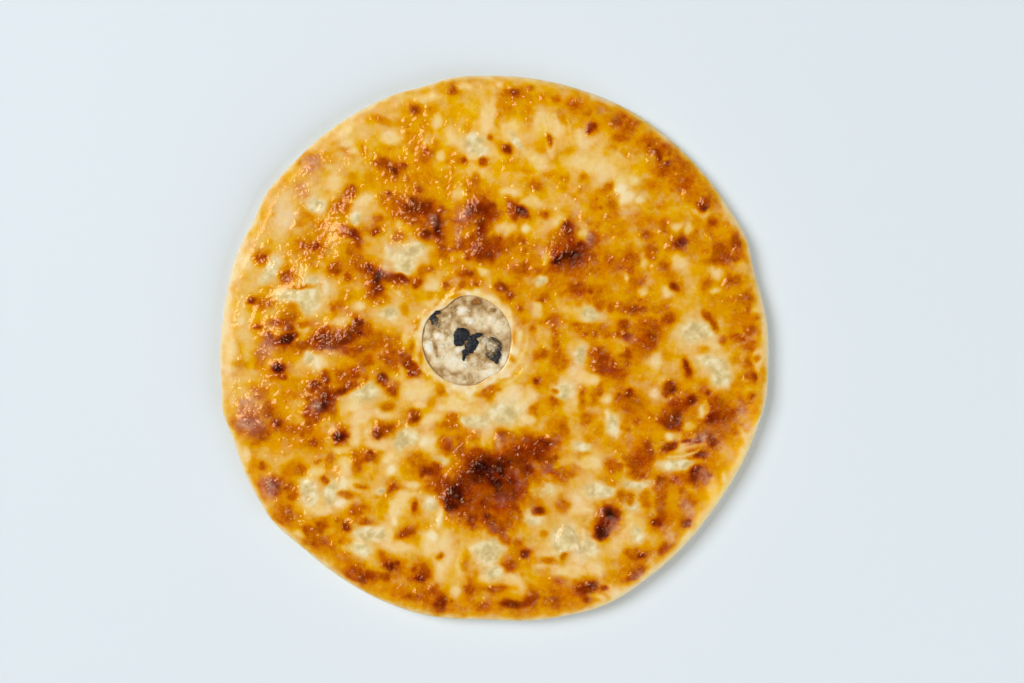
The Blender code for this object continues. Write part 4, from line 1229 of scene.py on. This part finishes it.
    def height(self, tree: NodeTree, place: NodeSocket, toast: NodeSocket, painted_sheen: NodeSocket) -> Node:
        """Adds the skin's finest relief: tiny bubbles, stretch lines, and wrinkles where it browned.

        Args:
            tree: the material's node tree.
            place: the coordinates.
            toast: how far each point is baked.
            painted_sheen: how strong the painted sheen is, which also roughens the skin there.

        Returns:
            The height's node.
        """
        hot = add_node(tree, "MapRange", {"Value": toast, "From Min": 0.10, "From Max": 0.55,
                                          "To Min": 0.20, "To Max": 1.0})
        some = self.noise(tree, place, *self.bubbled)
        some = add_node(tree, "Math", {0: some, 1: painted_sheen}, operation="ADD", use_clamp=True)
        pebbles = add_node(tree, "TexVoronoi", {"Vector": place, "Scale": 1 / self.pebble,
                                                "Smoothness": 0.5}, feature="SMOOTH_F1")
        strength = add_node(tree, "Math", {0: hot, 1: some}, operation="MULTIPLY")
        total = add_node(tree, "Math", {0: pebbles, 1: strength}, operation="MULTIPLY")
        total = add_node(tree, "Math", {0: total, 1: self.bubble_depth}, operation="MULTIPLY")
        pulled = self.noise(tree, place, *self.pulled)
        pulled = add_node(tree, "Math", {0: pulled, 1: painted_sheen}, operation="ADD", use_clamp=True)
        pulled = add_node(tree, "Math", {0: pulled, 1: hot}, operation="MULTIPLY")
        total = add_node(tree, "Math", {0: self.stretched(tree, place), 1: pulled, 2: total},
                         operation="MULTIPLY_ADD")
        crumpled = self.noise(tree, place, self.wrinkle, -0.5, 0.5)
        ridge = add_node(tree, "Math", {0: crumpled}, operation="ABSOLUTE")
        shrunk = add_node(tree, "MapRange", {"Value": toast, "From Min": 0.50, "From Max": 0.80,
                                             "To Min": 0.0, "To Max": -2.6})
        return add_node(tree, "Math", {0: ridge, 1: shrunk, 2: total}, operation="MULTIPLY_ADD")

    def make(self) -> Material:
        """Builds the material.

        Returns:
            The material.
        """
        material, tree = new_material("baked_yeast_dough")
        place = add_node(tree, "TexCoord").outputs["Object"]
        toast, wet, painted_sheen, base = (add_node(tree, "Attribute", attribute_name=name).outputs["Fac"]
                                  for name in ("toast", "wet", "painted_sheen", "base"))
        level = self.heat(tree, place, toast, base)
        colour = self.colour(tree, place, level, wet, painted_sheen)
        bump = add_node(tree, "Bump", {"Height": self.height(tree, place, toast, painted_sheen),
                                       "Distance": self.relief, "Strength": 1.0})
        buttered = add_node(tree, "Attribute", attribute_name="butter").outputs["Fac"]
        rough = add_node(tree, "MapRange", {"Value": buttered, "To Min": self.dry_roughness,
                                            "To Max": self.roughness})
        coat = add_node(tree, "Math", {0: buttered, 1: self.butter}, operation="MULTIPLY")
        finish_tree(tree, {
            "Base Color": colour, "Normal": bump, "Roughness": rough, "IOR": 1.46,
            "Specular IOR Level": self.shine, "Specular Tint": hex_to_linear(self.shine_hex),
            "Coat Weight": coat, "Coat Roughness": self.butter_roughness, "Coat IOR": 1.46,
            "Coat Normal": bump, "Subsurface Weight": 0.10, "Subsurface Scale": 1.0,
            "Subsurface Radius": (0.0016, 0.0008, 0.0003)})
        return material


@dataclass
class Crust:
    """The dough: one closed shell round the filling, with its relief and its baking."""

    steps: int = 205
    fine_from: tuple[float, float] = (0.045, 0.090)
    # How far the side and the base are baked, and spacing in metres and strength of their noise.
    side_tone: float = 0.06
    side_uneven: tuple[float, float] = (0.02, 0.10)
    base_tone: float = 0.47
    base_uneven: tuple[float, float] = (0.03, 0.12)
    base_fade: float = 0.006
    scorched: float = 0.22
    dry_rim: float = 0.0050
    # Painted highlight along the folds' ridges: how high a crease is where it is palest, how pale that is,
    # and how strongly.
    crease_highlight: tuple[float, float, float] = (0.0006, 0.13, 0.65)
    relief: Relief = field(default_factory=Relief)
    oven: Oven = field(default_factory=Oven)

    def turned(self) -> BMesh:
        """Spins the section, and halves the outer ring edges twice on the part that shows.

        Returns:
            The shell, with its rings about the vent still round.
        """
        body = spun(SECTION.inside() + SECTION.outside(), self.steps)
        for beyond in self.fine_from:
            outer = [e for e in body.edges if self.is_outer_ring(e, beyond)]
            bmesh.ops.subdivide_edges(body, edges=outer, cuts=1)
        return body

    @staticmethod
    def is_outer_ring(edge: BMEdge, beyond: float) -> bool:
        """Tells whether an edge runs round the pie on its outside, above the base.

        Args:
            edge: the edge.
            beyond: the radius past which it counts.

        Returns:
            True if it does.
        """
        a, b = (v.co for v in edge.verts)
        reach = a.xy.length
        if abs(reach - b.xy.length) > MERGE * 20 or reach < beyond or a.z < MM:
            return False
        on_side = reach > OUTLINE.radius - SECTION.top_round + MERGE
        return on_side or a.z > float(SECTION.lid(reach)) - SECTION.lid_wall / 2

    def build(self) -> Object:
        """Builds and dresses the crust.

        Returns:
            The crust.
        """
        piece = finished_piece(self.turned(), "crust_baked", "crust")
        mesh = piece.data
        turned = points_of(mesh)
        radius = np.hypot(turned[:, 0], turned[:, 1])
        near_rim = radius > OUTLINE.radius - SECTION.top_round + MERGE
        top = (turned[:, 2] > SECTION.lid(radius) - SECTION.lid_wall / 2) & (radius > OUTLINE.vent_radius)
        shows = top | (near_rim & (turned[:, 2] > SECTION.waist_height - MERGE))
        points = OUTLINE.spread(turned)
        toast, wet, puffed = self.oven.toast(points)
        toast = self.oven.faded_rim(points, OUTLINE.radius - radius, toast)
        toast = self.oven.faded_vent(points, radius - OUTLINE.vent_radius, toast)
        fade = smooth((OUTLINE.radius - radius) / SECTION.top_round)
        from_vent = smooth((radius - OUTLINE.vent_radius) / SECTION.lip_width)
        crease = self.relief.creased(points)
        # Paints the folds' ridges paler, as highlights.
        palest_at, palest, strength = self.crease_highlight
        toast += strength * smooth(crease / palest_at) * (palest - toast)
        lift = (self.relief.large(points) + crease) * fade * from_vent
        bubbles, browned = self.relief.bubbles(points, toast)
        small = bubbles + puffed + self.relief.skin(points, toast)
        lift += small * np.minimum(fade * 3, 1) * np.minimum(from_vent * 2, 1)
        points[:, 2] += np.where(shows, lift, 0)
        move_points(mesh, points)
        under = smooth((SECTION.waist_height / 2 - turned[:, 2]) / SECTION.waist_height + 0.3) * ~shows
        under *= smooth((OUTLINE.radius - SECTION.base_round / 2 - radius) / self.base_fade + 0.5)
        spacing, strength = self.side_uneven
        side = self.side_tone + strength * noise_at(points, spacing, 51, 2)
        spacing, strength = self.base_uneven
        side += under * (self.base_tone + strength * noise_at(points, spacing, 52, 2) - side)
        paint(mesh, "base", self.scorched * under)
        paint(mesh, "toast", np.where(shows, toast + browned, side))
        paint(mesh, "wet", np.where(shows, wet, 0))
        # The painted sheen of the lamp on the butter.
        paint(mesh, "painted_sheen", np.where(shows, self.oven.painted_sheen_weight(points), 0))
        # The dough's golden tone, and painted light along the lower right rim.
        paint(mesh, "gold_and_rim_light", self.oven.gold_and_rim_light(points))
        paint(mesh, "butter", smooth((OUTLINE.radius - radius - self.dry_rim) / self.dry_rim) * shows)
        self.unroll(mesh, turned)
        mesh.materials.append(BakedDough().make())
        return piece

    def unroll(self, mesh: Mesh, turned: np.ndarray) -> None:
        """Lays the dough out flat in three discs: the lid and side, the base, and the cavity.

        Args:
            mesh: the crust's mesh, which gets the map.
            turned: its vertices as they were spun.
        """
        inside, outside = SECTION.inside(), SECTION.outside()
        section = np.array(inside + outside)
        steps = np.hypot(*np.diff(section, axis=0).T)
        along = np.concatenate(((0.0,), np.cumsum(steps)))
        radius = np.hypot(turned[:, 0], turned[:, 1])
        ring = np.empty(len(turned), int)
        for number, (r, z) in enumerate(zip(radius, turned[:, 2])):
            ring[number] = np.argmin((section[:, 0] - r) ** 2 + (section[:, 1] - z) ** 2)
        waist = len(inside) + next(n for n, (r, z) in enumerate(outside) if r > OUTLINE.radius - MERGE)
        vent = len(inside)
        corners = np.empty(len(mesh.loops), int)
        mesh.loops.foreach_get("vertex_index", corners)
        totals = np.empty(len(mesh.polygons), int)
        mesh.polygons.foreach_get("loop_total", totals)
        face = np.repeat(np.arange(len(totals)), totals)
        middle = np.bincount(face, ring[corners])[face] / totals[face]
        way = turned[corners, :2] / np.maximum(radius[corners], MERGE)[:, None]
        reach = along[ring[corners]]
        places = np.empty((len(corners), 2))
        for spot, size, start, end, whole in (
                ((0.125, 0.125), 0.12, -1, vent, along[vent]),
                ((0.40, 0.60), 0.395, vent, waist, along[waist] - along[vent] + OUTLINE.vent_radius),
                ((0.815, 0.185), 0.18, waist, len(section), along[-1] - along[waist])):
            here = (middle > start) & (middle < end)
            far = reach[here] - along[vent] + OUTLINE.vent_radius
            if start < 0:
                far = reach[here]
            elif start == waist:
                far = along[-1] - reach[here]
            places[here] = np.array(spot) + way[here] * (size * far / whole)[:, None]
        layer = mesh.uv_layers.new(name="OFBake")
        layer.data.foreach_set("uv", places.ravel())


@dataclass(frozen=True)
class ChoppedChicken:
    """Chicken minced with onion and cooked inside the pie: moist, pale and slightly see-through."""

    # Browned fat at 0, dark brown painted shade in the gaps between chunks, beige meat, and white onion and
    # curd at the top.
    tones: tuple[tuple[float, str], ...] = (
        (0.00, "BC7420"), (0.10, "80592C"), (0.26, "BA945E"), (0.40, "DEC395"), (0.56, "EFDDB6"),
        (0.74, "F7EDD8"), (0.90, "FCF8F0"),
    )
    grain: float = 0.0011
    fibre: float = 0.0042
    bump_depth: float = 0.00016

    def make(self) -> Material:
        """Builds the material.

        Returns:
            The material.
        """
        material, tree = new_material("minced_chicken_filling")
        place = add_node(tree, "TexCoord").outputs["Object"]
        shade = add_node(tree, "Attribute", attribute_name="shade").outputs["Fac"]
        grain = add_node(tree, "TexNoise", {"Vector": place, "Scale": 1 / self.grain, "Detail": 3.0,
                                            "Roughness": 0.6})
        patch = add_node(tree, "TexNoise", {"Vector": place, "Scale": 1 / self.fibre, "Detail": 2.0,
                                            "Roughness": 0.5})
        fine = add_node(tree, "Math", {0: grain, 1: 0.14, 2: -0.07}, operation="MULTIPLY_ADD")
        wide = add_node(tree, "Math", {0: patch, 1: 0.50, 2: -0.25}, operation="MULTIPLY_ADD")
        both = add_node(tree, "Math", {0: fine, 1: wide}, operation="ADD")
        level = add_node(tree, "Math", {0: shade, 1: both}, operation="ADD")
        colour = add_node(tree, "ValToRGB", {"Fac": level})
        set_ramp(colour, dict(self.tones))
        bump = add_node(tree, "Bump", {"Height": grain, "Distance": self.bump_depth, "Strength": 1.0})
        finish_tree(tree, {
            "Base Color": colour, "Normal": bump, "Roughness": 0.40, "IOR": 1.40, "Specular IOR Level": 0.35,
            "Subsurface Weight": 0.25, "Subsurface Scale": 1.0,
            "Subsurface Radius": (0.0022, 0.0013, 0.0008)})
        return material


@dataclass(frozen=True)
class Chunk:
    """A soft chunk in the filling: its place and half sizes in pixels, its turn, and how pale it is."""

    px: float
    py: float
    wide: float
    high: float
    lean: float
    shade: float
    steepness: float = 3.5

    def weight(self, points: np.ndarray) -> np.ndarray:
        """The chunk's weight at each point, 1 over most of it."""
        half = (PHOTO.length_on_lid(self.wide), PHOTO.length_on_lid(self.high))
        return bell(points, PHOTO.on_lid(self.px, self.py), half, self.lean, self.steepness)


@dataclass
class Filling:
    """The chicken filling, which runs through the pie and stands up in the vent."""

    level: float = 0.0162
    tilt: float = 0.0003
    shoulder: float = 0.0012
    heaped: float = 0.0008
    # Angle and half width in degrees of where the filling sank away from the lid.
    gaps: tuple[tuple[float, float], ...] = ((118, 20), (222, 22))
    flat_share: float = 0.86
    steps: int = 180
    ring: float = 0.00045
    chunks: tuple[Chunk, ...] = (
        # The thin dark chunk at (436, 350) is a painted shadow line beside the pale chunk to its left.
        Chunk(484, 322, 12, 8, 20, 0.56), Chunk(498, 327, 8, 9, 0, 0.60), Chunk(455, 341, 8, 9, 0, 0.55),
        Chunk(475, 347, 9, 6, 0, 0.60), Chunk(443, 345, 7, 7, 0, 0.56), Chunk(436, 361, 7, 6, -40, 0.52),
        Chunk(452, 361, 13, 9, -30, 0.74), Chunk(473, 368, 9, 12, 0, 0.46), Chunk(461, 379, 8, 5, 0, 0.60),
        Chunk(488, 373, 9, 7, 10, 0.66), Chunk(505, 341, 5, 9, 0, 0.42), Chunk(503, 358, 5, 7, 0, 0.74),
        Chunk(446, 321, 7, 7, 0, 0.48), Chunk(454, 327, 4, 6, 0, 0.44), Chunk(470, 320, 6, 4, 0, 0.72),
        Chunk(463, 311, 6, 5, 0, 0.84), Chunk(439, 336, 6, 4, -15, 0.70), Chunk(429, 347, 5, 7, 10, 0.74),
        Chunk(459, 350, 6, 3, 25, 0.74), Chunk(495, 310, 8, 5, -20, 0.44), Chunk(472, 301, 6, 4, 0, 0.55),
        Chunk(490, 366, 6, 4, 20, 0.80), Chunk(486, 341, 4, 4, 0, 0.85), Chunk(447, 373, 5, 4, -45, 0.45),
        Chunk(436, 327, 4, 5, 0, 0.38), Chunk(476, 302, 5, 4, 0, 0.08), Chunk(493, 310, 3, 2.5, 0, 0.14),
        Chunk(436, 350, 2, 8, 10, 0.22), Chunk(446, 314, 3, 2, 30, 0.26), Chunk(427, 331, 3, 6, 0, 0.50),
        Chunk(480, 318, 8, 5, 0, 0.54), Chunk(492, 322, 7, 6, 0, 0.58), Chunk(462, 364, 6, 7, 30, 0.70),
        Chunk(446, 381, 6, 4, 30, 0.46), Chunk(497, 373, 6, 5, 0, 0.62), Chunk(505, 330, 5, 6, 0, 0.54),
        Chunk(456, 379, 9, 5, 0, 0.34), Chunk(486, 368, 9, 2.5, 10, 0.34), Chunk(469, 377, 3, 7, 0, 0.30),
    )
    chunk_height: tuple[float, float] = (0.0004, 0.0010)
    # Spacing in metres and reach of the noise that makes the chunks uneven.
    chunk_uneven: tuple[float, float] = (0.004, 0.0010)
    paste_shade: float = 0.46
    # Painted light and shade: how much paler the tallest chunk is than the rest, as if lit, and how much
    # darker all of it is in the vent's shade.
    lit: float = 0.22
    shaded: float = 0.19
    lump_spacing: float = 0.0026
    lump_height: float = 0.00070
    chop_count: int = 60
    chop_seed: int = 11
    chop_long: tuple[float, float] = (0.0010, 0.0022)
    chop_wide: tuple[float, float] = (0.0008, 0.0014)
    chop_tall: tuple[float, float] = (0.0004, 0.0008)
    chop_tilt: float = 0.4
    chop_uneven: float = 0.35
    chop_sunk: float = 0.25
    # Spacing in metres and strength of the chopped pieces' own shades, and the darkest of them.
    chop_shade: tuple[float, float] = (0.004, 0.30)
    chop_darkest: float = 0.26

    def surface(self, points: np.ndarray) -> tuple[np.ndarray, np.ndarray]:
        """Shapes the filling in the vent.

        Args:
            points: rows of x, y, z.

        Returns:
            Each point's height without the chopped pieces, and how pale it is.
        """
        away = (points - OUTLINE.vent) * (1, 1, 0)
        reach = np.hypot(away[:, 0], away[:, 1]) / OUTLINE.vent_radius
        flat = points * (1, 1, 0)
        dice = random.Random(self.chop_seed)
        rise = np.zeros(len(points))
        shade = np.full(len(points), self.paste_shade)
        spacing, strength = self.chunk_uneven
        pushed = [noise_at(flat, spacing, seed) for seed in (53, 54)]
        warped = flat + strength * np.column_stack((*pushed, flat[:, 2]))
        for chunk in self.chunks:
            weight = chunk.weight(warped)
            rise = np.maximum(rise, dice.uniform(*self.chunk_height) * weight)
            shade += weight * (chunk.shade - shade)
        lumps = self.lump_height * noise_at(flat, self.lump_spacing, 51, 3)
        angle = np.degrees(np.arctan2(away[:, 1], away[:, 0]))
        sunk = np.zeros(len(points))
        for middle, half in self.gaps:
            sunk = np.maximum(sunk, np.exp(-((((angle - middle + 180) % 360 - 180) / half) ** 2)))
        edge = smooth((reach - self.flat_share) / (1 - self.flat_share))
        down = edge * (self.shoulder * sunk - self.heaped * (1 - sunk))
        # Painted light on the tallest chunks, and painted shade over all of the vent.
        shade += self.lit * smooth(rise / self.chunk_height[1]) - self.shaded
        return self.level + self.tilt * away[:, 0] / OUTLINE.vent_radius + rise + lumps - down, shade

    def section(self) -> list[tuple[float, float]]:
        """Lists the profile: the surface in the vent, then under the lid, and back along the base.

        Returns:
            Radius and height of each point.
        """
        inner = OUTLINE.radius - SECTION.side_wall - SECTION.gap_at_wall
        shoulder = inner - SECTION.cavity_round
        vent = OUTLINE.vent_radius
        under = 2 * SECTION.gap
        points = [(r, self.level) for r in rings(0.0, vent - SECTION.gap_at_vent / 2, self.ring)]
        points.append((vent + 2 * SECTION.gap_at_vent, SECTION.ceiling(vent) - under))
        covered = rings(vent + 2 * MM, shoulder, SECTION.coarse_ring)
        points += [(r, SECTION.ceiling(r) - under) for r in covered]
        for radius in rings(shoulder, inner, SECTION.cavity_round / 4)[1:]:
            points.append((radius, SECTION.ceiling(radius + SECTION.gap_at_wall) - under))
        low = SECTION.base_wall + SECTION.gap
        points.append((inner, low + SECTION.base_round / 4))
        return points + [(inner - SECTION.base_round / 2, low), (0.0, low)]

    def chopped(self, body: BMesh) -> None:
        """Adds the chopped pieces that stand out of the surface.

        Args:
            body: the bmesh that they join.
        """
        dice = random.Random(self.chop_seed)
        for number in range(self.chop_count):
            angle = dice.uniform(0, math.tau)
            size = [dice.uniform(*span) for span in (self.chop_long, self.chop_wide, self.chop_tall)]
            turn = Matrix.Rotation(dice.uniform(0, math.tau), 4, "Z")
            turn @= Matrix.Rotation(dice.uniform(-self.chop_tilt, self.chop_tilt), 4, "Y")
            room = OUTLINE.vent_reach(angle) - size[0] - 3 * SECTION.gap_at_vent
            reach = room * math.sqrt(dice.random())
            at = OUTLINE.vent + np.array((reach * math.cos(angle), reach * math.sin(angle), 0))
            base = float(self.surface(at[None, :])[0][0])
            made = bmesh.ops.create_icosphere(body, subdivisions=3, radius=1.0)["verts"]
            for vertex in made:
                vertex.co *= 1 + self.chop_uneven * noise.noise(vertex.co * 1.2 + Vector((number, 0, 0)))
            seat = Matrix.Translation((at[0], at[1], base - self.chop_sunk * size[2]))
            bmesh.ops.transform(body, matrix=seat @ turn @ Matrix.Diagonal((*size, 1)), verts=made)

    def build(self) -> list[Object]:
        """Builds and dresses the filling.

        Returns:
            Its core and its chopped pieces.
        """
        body = spun(self.section(), self.steps)
        core = finished_piece(body, "filling_core", "filling")
        turned = points_of(core.data)
        radius = np.hypot(turned[:, 0], turned[:, 1])
        shows = (radius < OUTLINE.vent_radius) & (turned[:, 2] > SECTION.ceiling(OUTLINE.vent_radius))
        points = OUTLINE.spread(turned)
        height, shade = self.surface(points)
        points[:, 2] = np.where(shows, height, points[:, 2])
        move_points(core.data, points)
        paint(core.data, "shade", np.where(shows, shade, 0.5))
        pieces = bmesh.new()
        self.chopped(pieces)
        chops = finished_piece(pieces, "filling_chopped", "filling")
        places = points_of(chops.data)
        spacing, strength = self.chop_shade
        shade = self.surface(places)[1] + strength * noise_at(places, spacing, 61)
        paint(chops.data, "shade", np.maximum(shade, self.chop_darkest))
        material = ChoppedChicken().make()
        for piece in (core, chops):
            piece.data.materials.append(material)
        return [core, chops]


@dataclass(frozen=True)
class CookedMushroom:
    """Mushroom cooked in the filling: a wet blue-black skin, and beige flesh where it is cut."""

    tones: tuple[tuple[float, str], ...] = (
        (0.0, "E4DCC8"), (0.25, "C8B088"), (0.45, "86704C"), (0.65, "3E342A"), (0.85, "22222C"),
        (1.0, "14161E"),
    )
    grain: float = 0.0011
    bump_depth: float = 0.00050

    def make(self) -> Material:
        """Builds the material.

        Returns:
            The material.
        """
        material, tree = new_material("cooked_mushroom")
        place = add_node(tree, "TexCoord").outputs["Object"]
        dark = add_node(tree, "Attribute", attribute_name="dark").outputs["Fac"]
        grain = add_node(tree, "TexNoise", {"Vector": place, "Scale": 1 / self.grain, "Detail": 3.0,
                                            "Roughness": 0.65})
        fine = add_node(tree, "Math", {0: grain, 1: 1.3, 2: -0.65}, operation="MULTIPLY_ADD")
        level = add_node(tree, "Math", {0: dark, 1: fine}, operation="ADD")
        colour = add_node(tree, "ValToRGB", {"Fac": level})
        set_ramp(colour, dict(self.tones))
        bump = add_node(tree, "Bump", {"Height": grain, "Distance": self.bump_depth, "Strength": 1.0})
        finish_tree(tree, {"Base Color": colour, "Normal": bump, "Roughness": 0.30, "IOR": 1.40})
        return material


@dataclass(frozen=True)
class Ball:
    """A stretched ball of mushroom: its place and sizes in pixels, turn, thickness, darkness and rise."""

    px: float
    py: float
    wide: float
    high: float
    lean: float
    thick: float
    dark: float
    rise: float = 0.0003


@dataclass
class MushroomSlices:
    """The three mushroom slices in the vent, each fused from stretched balls."""

    slices: dict[str, tuple[Ball, ...]] = field(default_factory=lambda: {
        "mushroom_slice_dark": (
            Ball(461.5, 334.5, 16.0, 14.0, 0, 0.0030, 1.1), Ball(459.0, 340.0, 11.0, 13.0, 20, 0.0028, 1.1),
            Ball(456.5, 344.0, 6.0, 6.0, 30, 0.0022, 1.0), Ball(476.5, 335.5, 13.0, 5.0, 12, 0.0024, 1.1),
            Ball(472.0, 340.0, 9.0, 10.0, 10, 0.0026, 1.1), Ball(471.0, 347.0, 12.0, 13.0, -25, 0.0026, 1.1),
            Ball(475.5, 344.0, 6.0, 9.0, -20, 0.0024, 1.0), Ball(465.5, 352.5, 7.0, 7.0, -30, 0.0024, 1.0),
            Ball(464.0, 358.0, 3.5, 6.5, 0, 0.0020, 1.0),
        ),
        "mushroom_slice_gilled": (
            # Its palest ball, at the top left, is beige flesh with a painted highlight where the wet skin
            # catches the lamp.
            Ball(486.0, 341.0, 9.0, 8.0, 0, 0.0022, 0.15), Ball(492.5, 347.0, 12.0, 12.0, 0, 0.0026, 0.25),
            Ball(493.5, 339.5, 8.0, 4.5, -25, 0.0022, 0.75), Ball(499.3, 346.0, 4.5, 12.0, 5, 0.0024, 0.70),
            Ball(498.0, 355.0, 6.5, 10.0, 0, 0.0024, 0.95), Ball(489.0, 354.5, 8.0, 6.0, 15, 0.0022, 0.50),
            Ball(493.5, 357.5, 9.0, 7.5, 0, 0.0022, 0.70), Ball(497.0, 361.5, 5.0, 4.5, 0, 0.0020, 1.0),
        ),
        "mushroom_slice_small": (
            Ball(434.5, 320.5, 7.0, 10.0, -35, 0.0028, 0.60), Ball(432.0, 318.5, 5.0, 6.0, -35, 0.0026, 0.90),
            Ball(437.5, 325.5, 5.0, 5.0, 0, 0.0022, 0.35),
            Ball(436.5, 312.0, 7.0, 4.5, 20, 0.0022, 1.1, 0.0013),
            Ball(433.5, 315.5, 4.0, 6.0, -30, 0.0024, 1.0, 0.0008),
        ),
    })
    voxel: float = 0.00030
    wrinkle: float = 0.0004
    wrinkle_spacing: float = 0.0022

    def fused(self, name: str, balls: tuple[Ball, ...], level: float) -> Object:
        """Fuses balls into one wrinkled piece, and darkens each part of it as its nearest balls are.

        Args:
            name: the node that the piece stands for.
            balls: its balls.
            level: the filling's height there.

        Returns:
            The piece.
        """
        body = bmesh.new()
        pixel = PHOTO.length_on_lid(1)
        for ball in balls:
            x, y, _ = PHOTO.on_lid(ball.px, ball.py, level)
            turn = Matrix.Rotation(math.radians(ball.lean), 4, "Z")
            size = Matrix.Diagonal((ball.wide * pixel, ball.high * pixel, ball.thick, 1))
            bmesh.ops.create_uvsphere(body, u_segments=32, v_segments=16, radius=0.5,
                                      matrix=Matrix.Translation((x, y, level + ball.rise)) @ turn @ size)
        piece = finished_piece(body, name + "_cooked", name)
        remesh = piece.modifiers.new("Fuse", "REMESH")
        remesh.mode = "VOXEL"
        remesh.voxel_size = self.voxel
        graph = bpy.context.evaluated_depsgraph_get()
        mesh = bpy.data.meshes.new_from_object(piece.evaluated_get(graph))
        piece.modifiers.clear()
        piece.data = mesh
        mesh.shade_smooth()
        points = points_of(mesh)
        normals = np.empty(len(mesh.vertices) * 3)
        mesh.vertices.foreach_get("normal", normals)
        crinkle = noise_at(points, self.wrinkle_spacing, 71, 3)
        move_points(mesh, points + normals.reshape(-1, 3) * (self.wrinkle * crinkle)[:, None])
        total = np.full(len(points), 0.000001)
        dark = np.zeros(len(points))
        for ball in balls:
            half = (ball.wide * pixel / 2, ball.high * pixel / 2)
            weight = bell(points, PHOTO.on_lid(ball.px, ball.py, level), half, ball.lean, 2)
            total += weight
            dark += weight * ball.dark
        paint(mesh, "dark", dark / total)
        return piece

    def build(self) -> list[Object]:
        """Builds and dresses the slices.

        Returns:
            The three slices.
        """
        filling = Filling()
        material = CookedMushroom().make()
        pieces = []
        for name, balls in self.slices.items():
            middle = OUTLINE.flat_place((balls[0].px, balls[0].py))
            pieces.append(self.fused(name, balls, float(filling.surface(middle[None, :])[0][0])))
        for piece in pieces:
            piece.data.materials.append(material)
        return pieces


@dataclass
class Studio:
    """A plain pale floor, soft light from the upper left, and a camera that looks straight down."""

    floor_size: float = 6.0
    floor_hex: str = "E6EEF3"
    key_power: float = 198.0
    key_size: float = 2.4
    key_place: tuple[float, float, float] = (-2.85, 1.45, 3.85)
    fill_power: float = 64.0
    fill_size: float = 3.0
    fill_place: tuple[float, float, float] = (2.2, -1.7, 1.9)
    world_hex: str = "E4EDF5"
    # Height in the sky and strength: dark overhead, where the lid would mirror it, and bright lower down.
    sky: tuple[tuple[float, float], ...] = ((0.0, 0.28), (0.5, 0.24), (0.75, 0.13), (0.9, 0.04), (1.0, 0.01))

    def area(self, name: str, place: tuple[float, float, float], size: float, power: float) -> None:
        """Adds a square area light that faces the pie.

        Args:
            name: the light's name.
            place: where it stands.
            size: its side.
            power: its power in watts.
        """
        light = bpy.data.lights.new(name, "AREA")
        light.shape = "SQUARE"
        light.size = size
        light.energy = power
        lamp = bpy.data.objects.new(name, light)
        lamp.location = place
        lamp.rotation_euler = Vector(place).to_track_quat("Z", "Y").to_euler()
        bpy.context.scene.collection.objects.link(lamp)

    def floor(self) -> None:
        """Adds the floor."""
        body = bmesh.new()
        bmesh.ops.create_grid(body, x_segments=1, y_segments=1, size=self.floor_size / 2)
        mesh = bpy.data.meshes.new("floor")
        body.to_mesh(mesh)
        body.free()
        floor = bpy.data.objects.new("floor", mesh)
        bpy.context.scene.collection.objects.link(floor)
        material, tree = new_material("painted_table")
        finish_tree(tree, {"Base Color": hex_to_linear(self.floor_hex), "Roughness": 0.7,
                           "Specular IOR Level": 0.2})
        mesh.materials.append(material)

    def room(self) -> None:
        """Adds the room's soft light, which is dim straight overhead."""
        world = bpy.data.worlds.new("soft_room")
        world.use_nodes = True
        tree = world.node_tree
        background = tree.nodes["Background"]
        background.inputs["Color"].default_value = hex_to_linear(self.world_hex)
        way = add_node(tree, "TexCoord").outputs["Generated"]
        up = add_node(tree, "SeparateXYZ", {0: way}).outputs["Z"]
        strength = add_node(tree, "FloatCurve", {"Value": up})
        curve = strength.mapping.curves[0]
        for number, (height, value) in enumerate(self.sky):
            if number < len(curve.points):
                curve.points[number].location = (height, value)
            else:
                curve.points.new(height, value)
        strength.mapping.update()
        tree.links.new(strength.outputs["Value"], background.inputs["Strength"])
        bpy.context.scene.world = world

    def build(self) -> None:
        """Builds the floor, the lights, the room and the camera."""
        scene = bpy.context.scene
        self.floor()
        self.area("window", self.key_place, self.key_size, self.key_power)
        self.area("bounce", self.fill_place, self.fill_size, self.fill_power)
        self.room()
        scene.view_settings.view_transform = "Standard"
        camera = bpy.data.cameras.new("photo_view")
        camera.lens = PHOTO.lens
        camera.sensor_width = PHOTO.sensor
        viewer = bpy.data.objects.new("photo_view", camera)
        viewer.location = PHOTO.camera
        scene.collection.objects.link(viewer)
        scene.camera = viewer


def main() -> None:
    """Builds the pie's pieces and the studio in order, and reports each piece."""
    logging.basicConfig(level=logging.INFO, format="%(name)s: %(message)s")
    pieces = [Crust().build(), *Filling().build(), *MushroomSlices().build()]
    for piece in pieces:
        LOG.info("%s has %d faces", piece.name, len(piece.data.polygons))
    Studio().build()


if __name__ == "__main__":
    main()
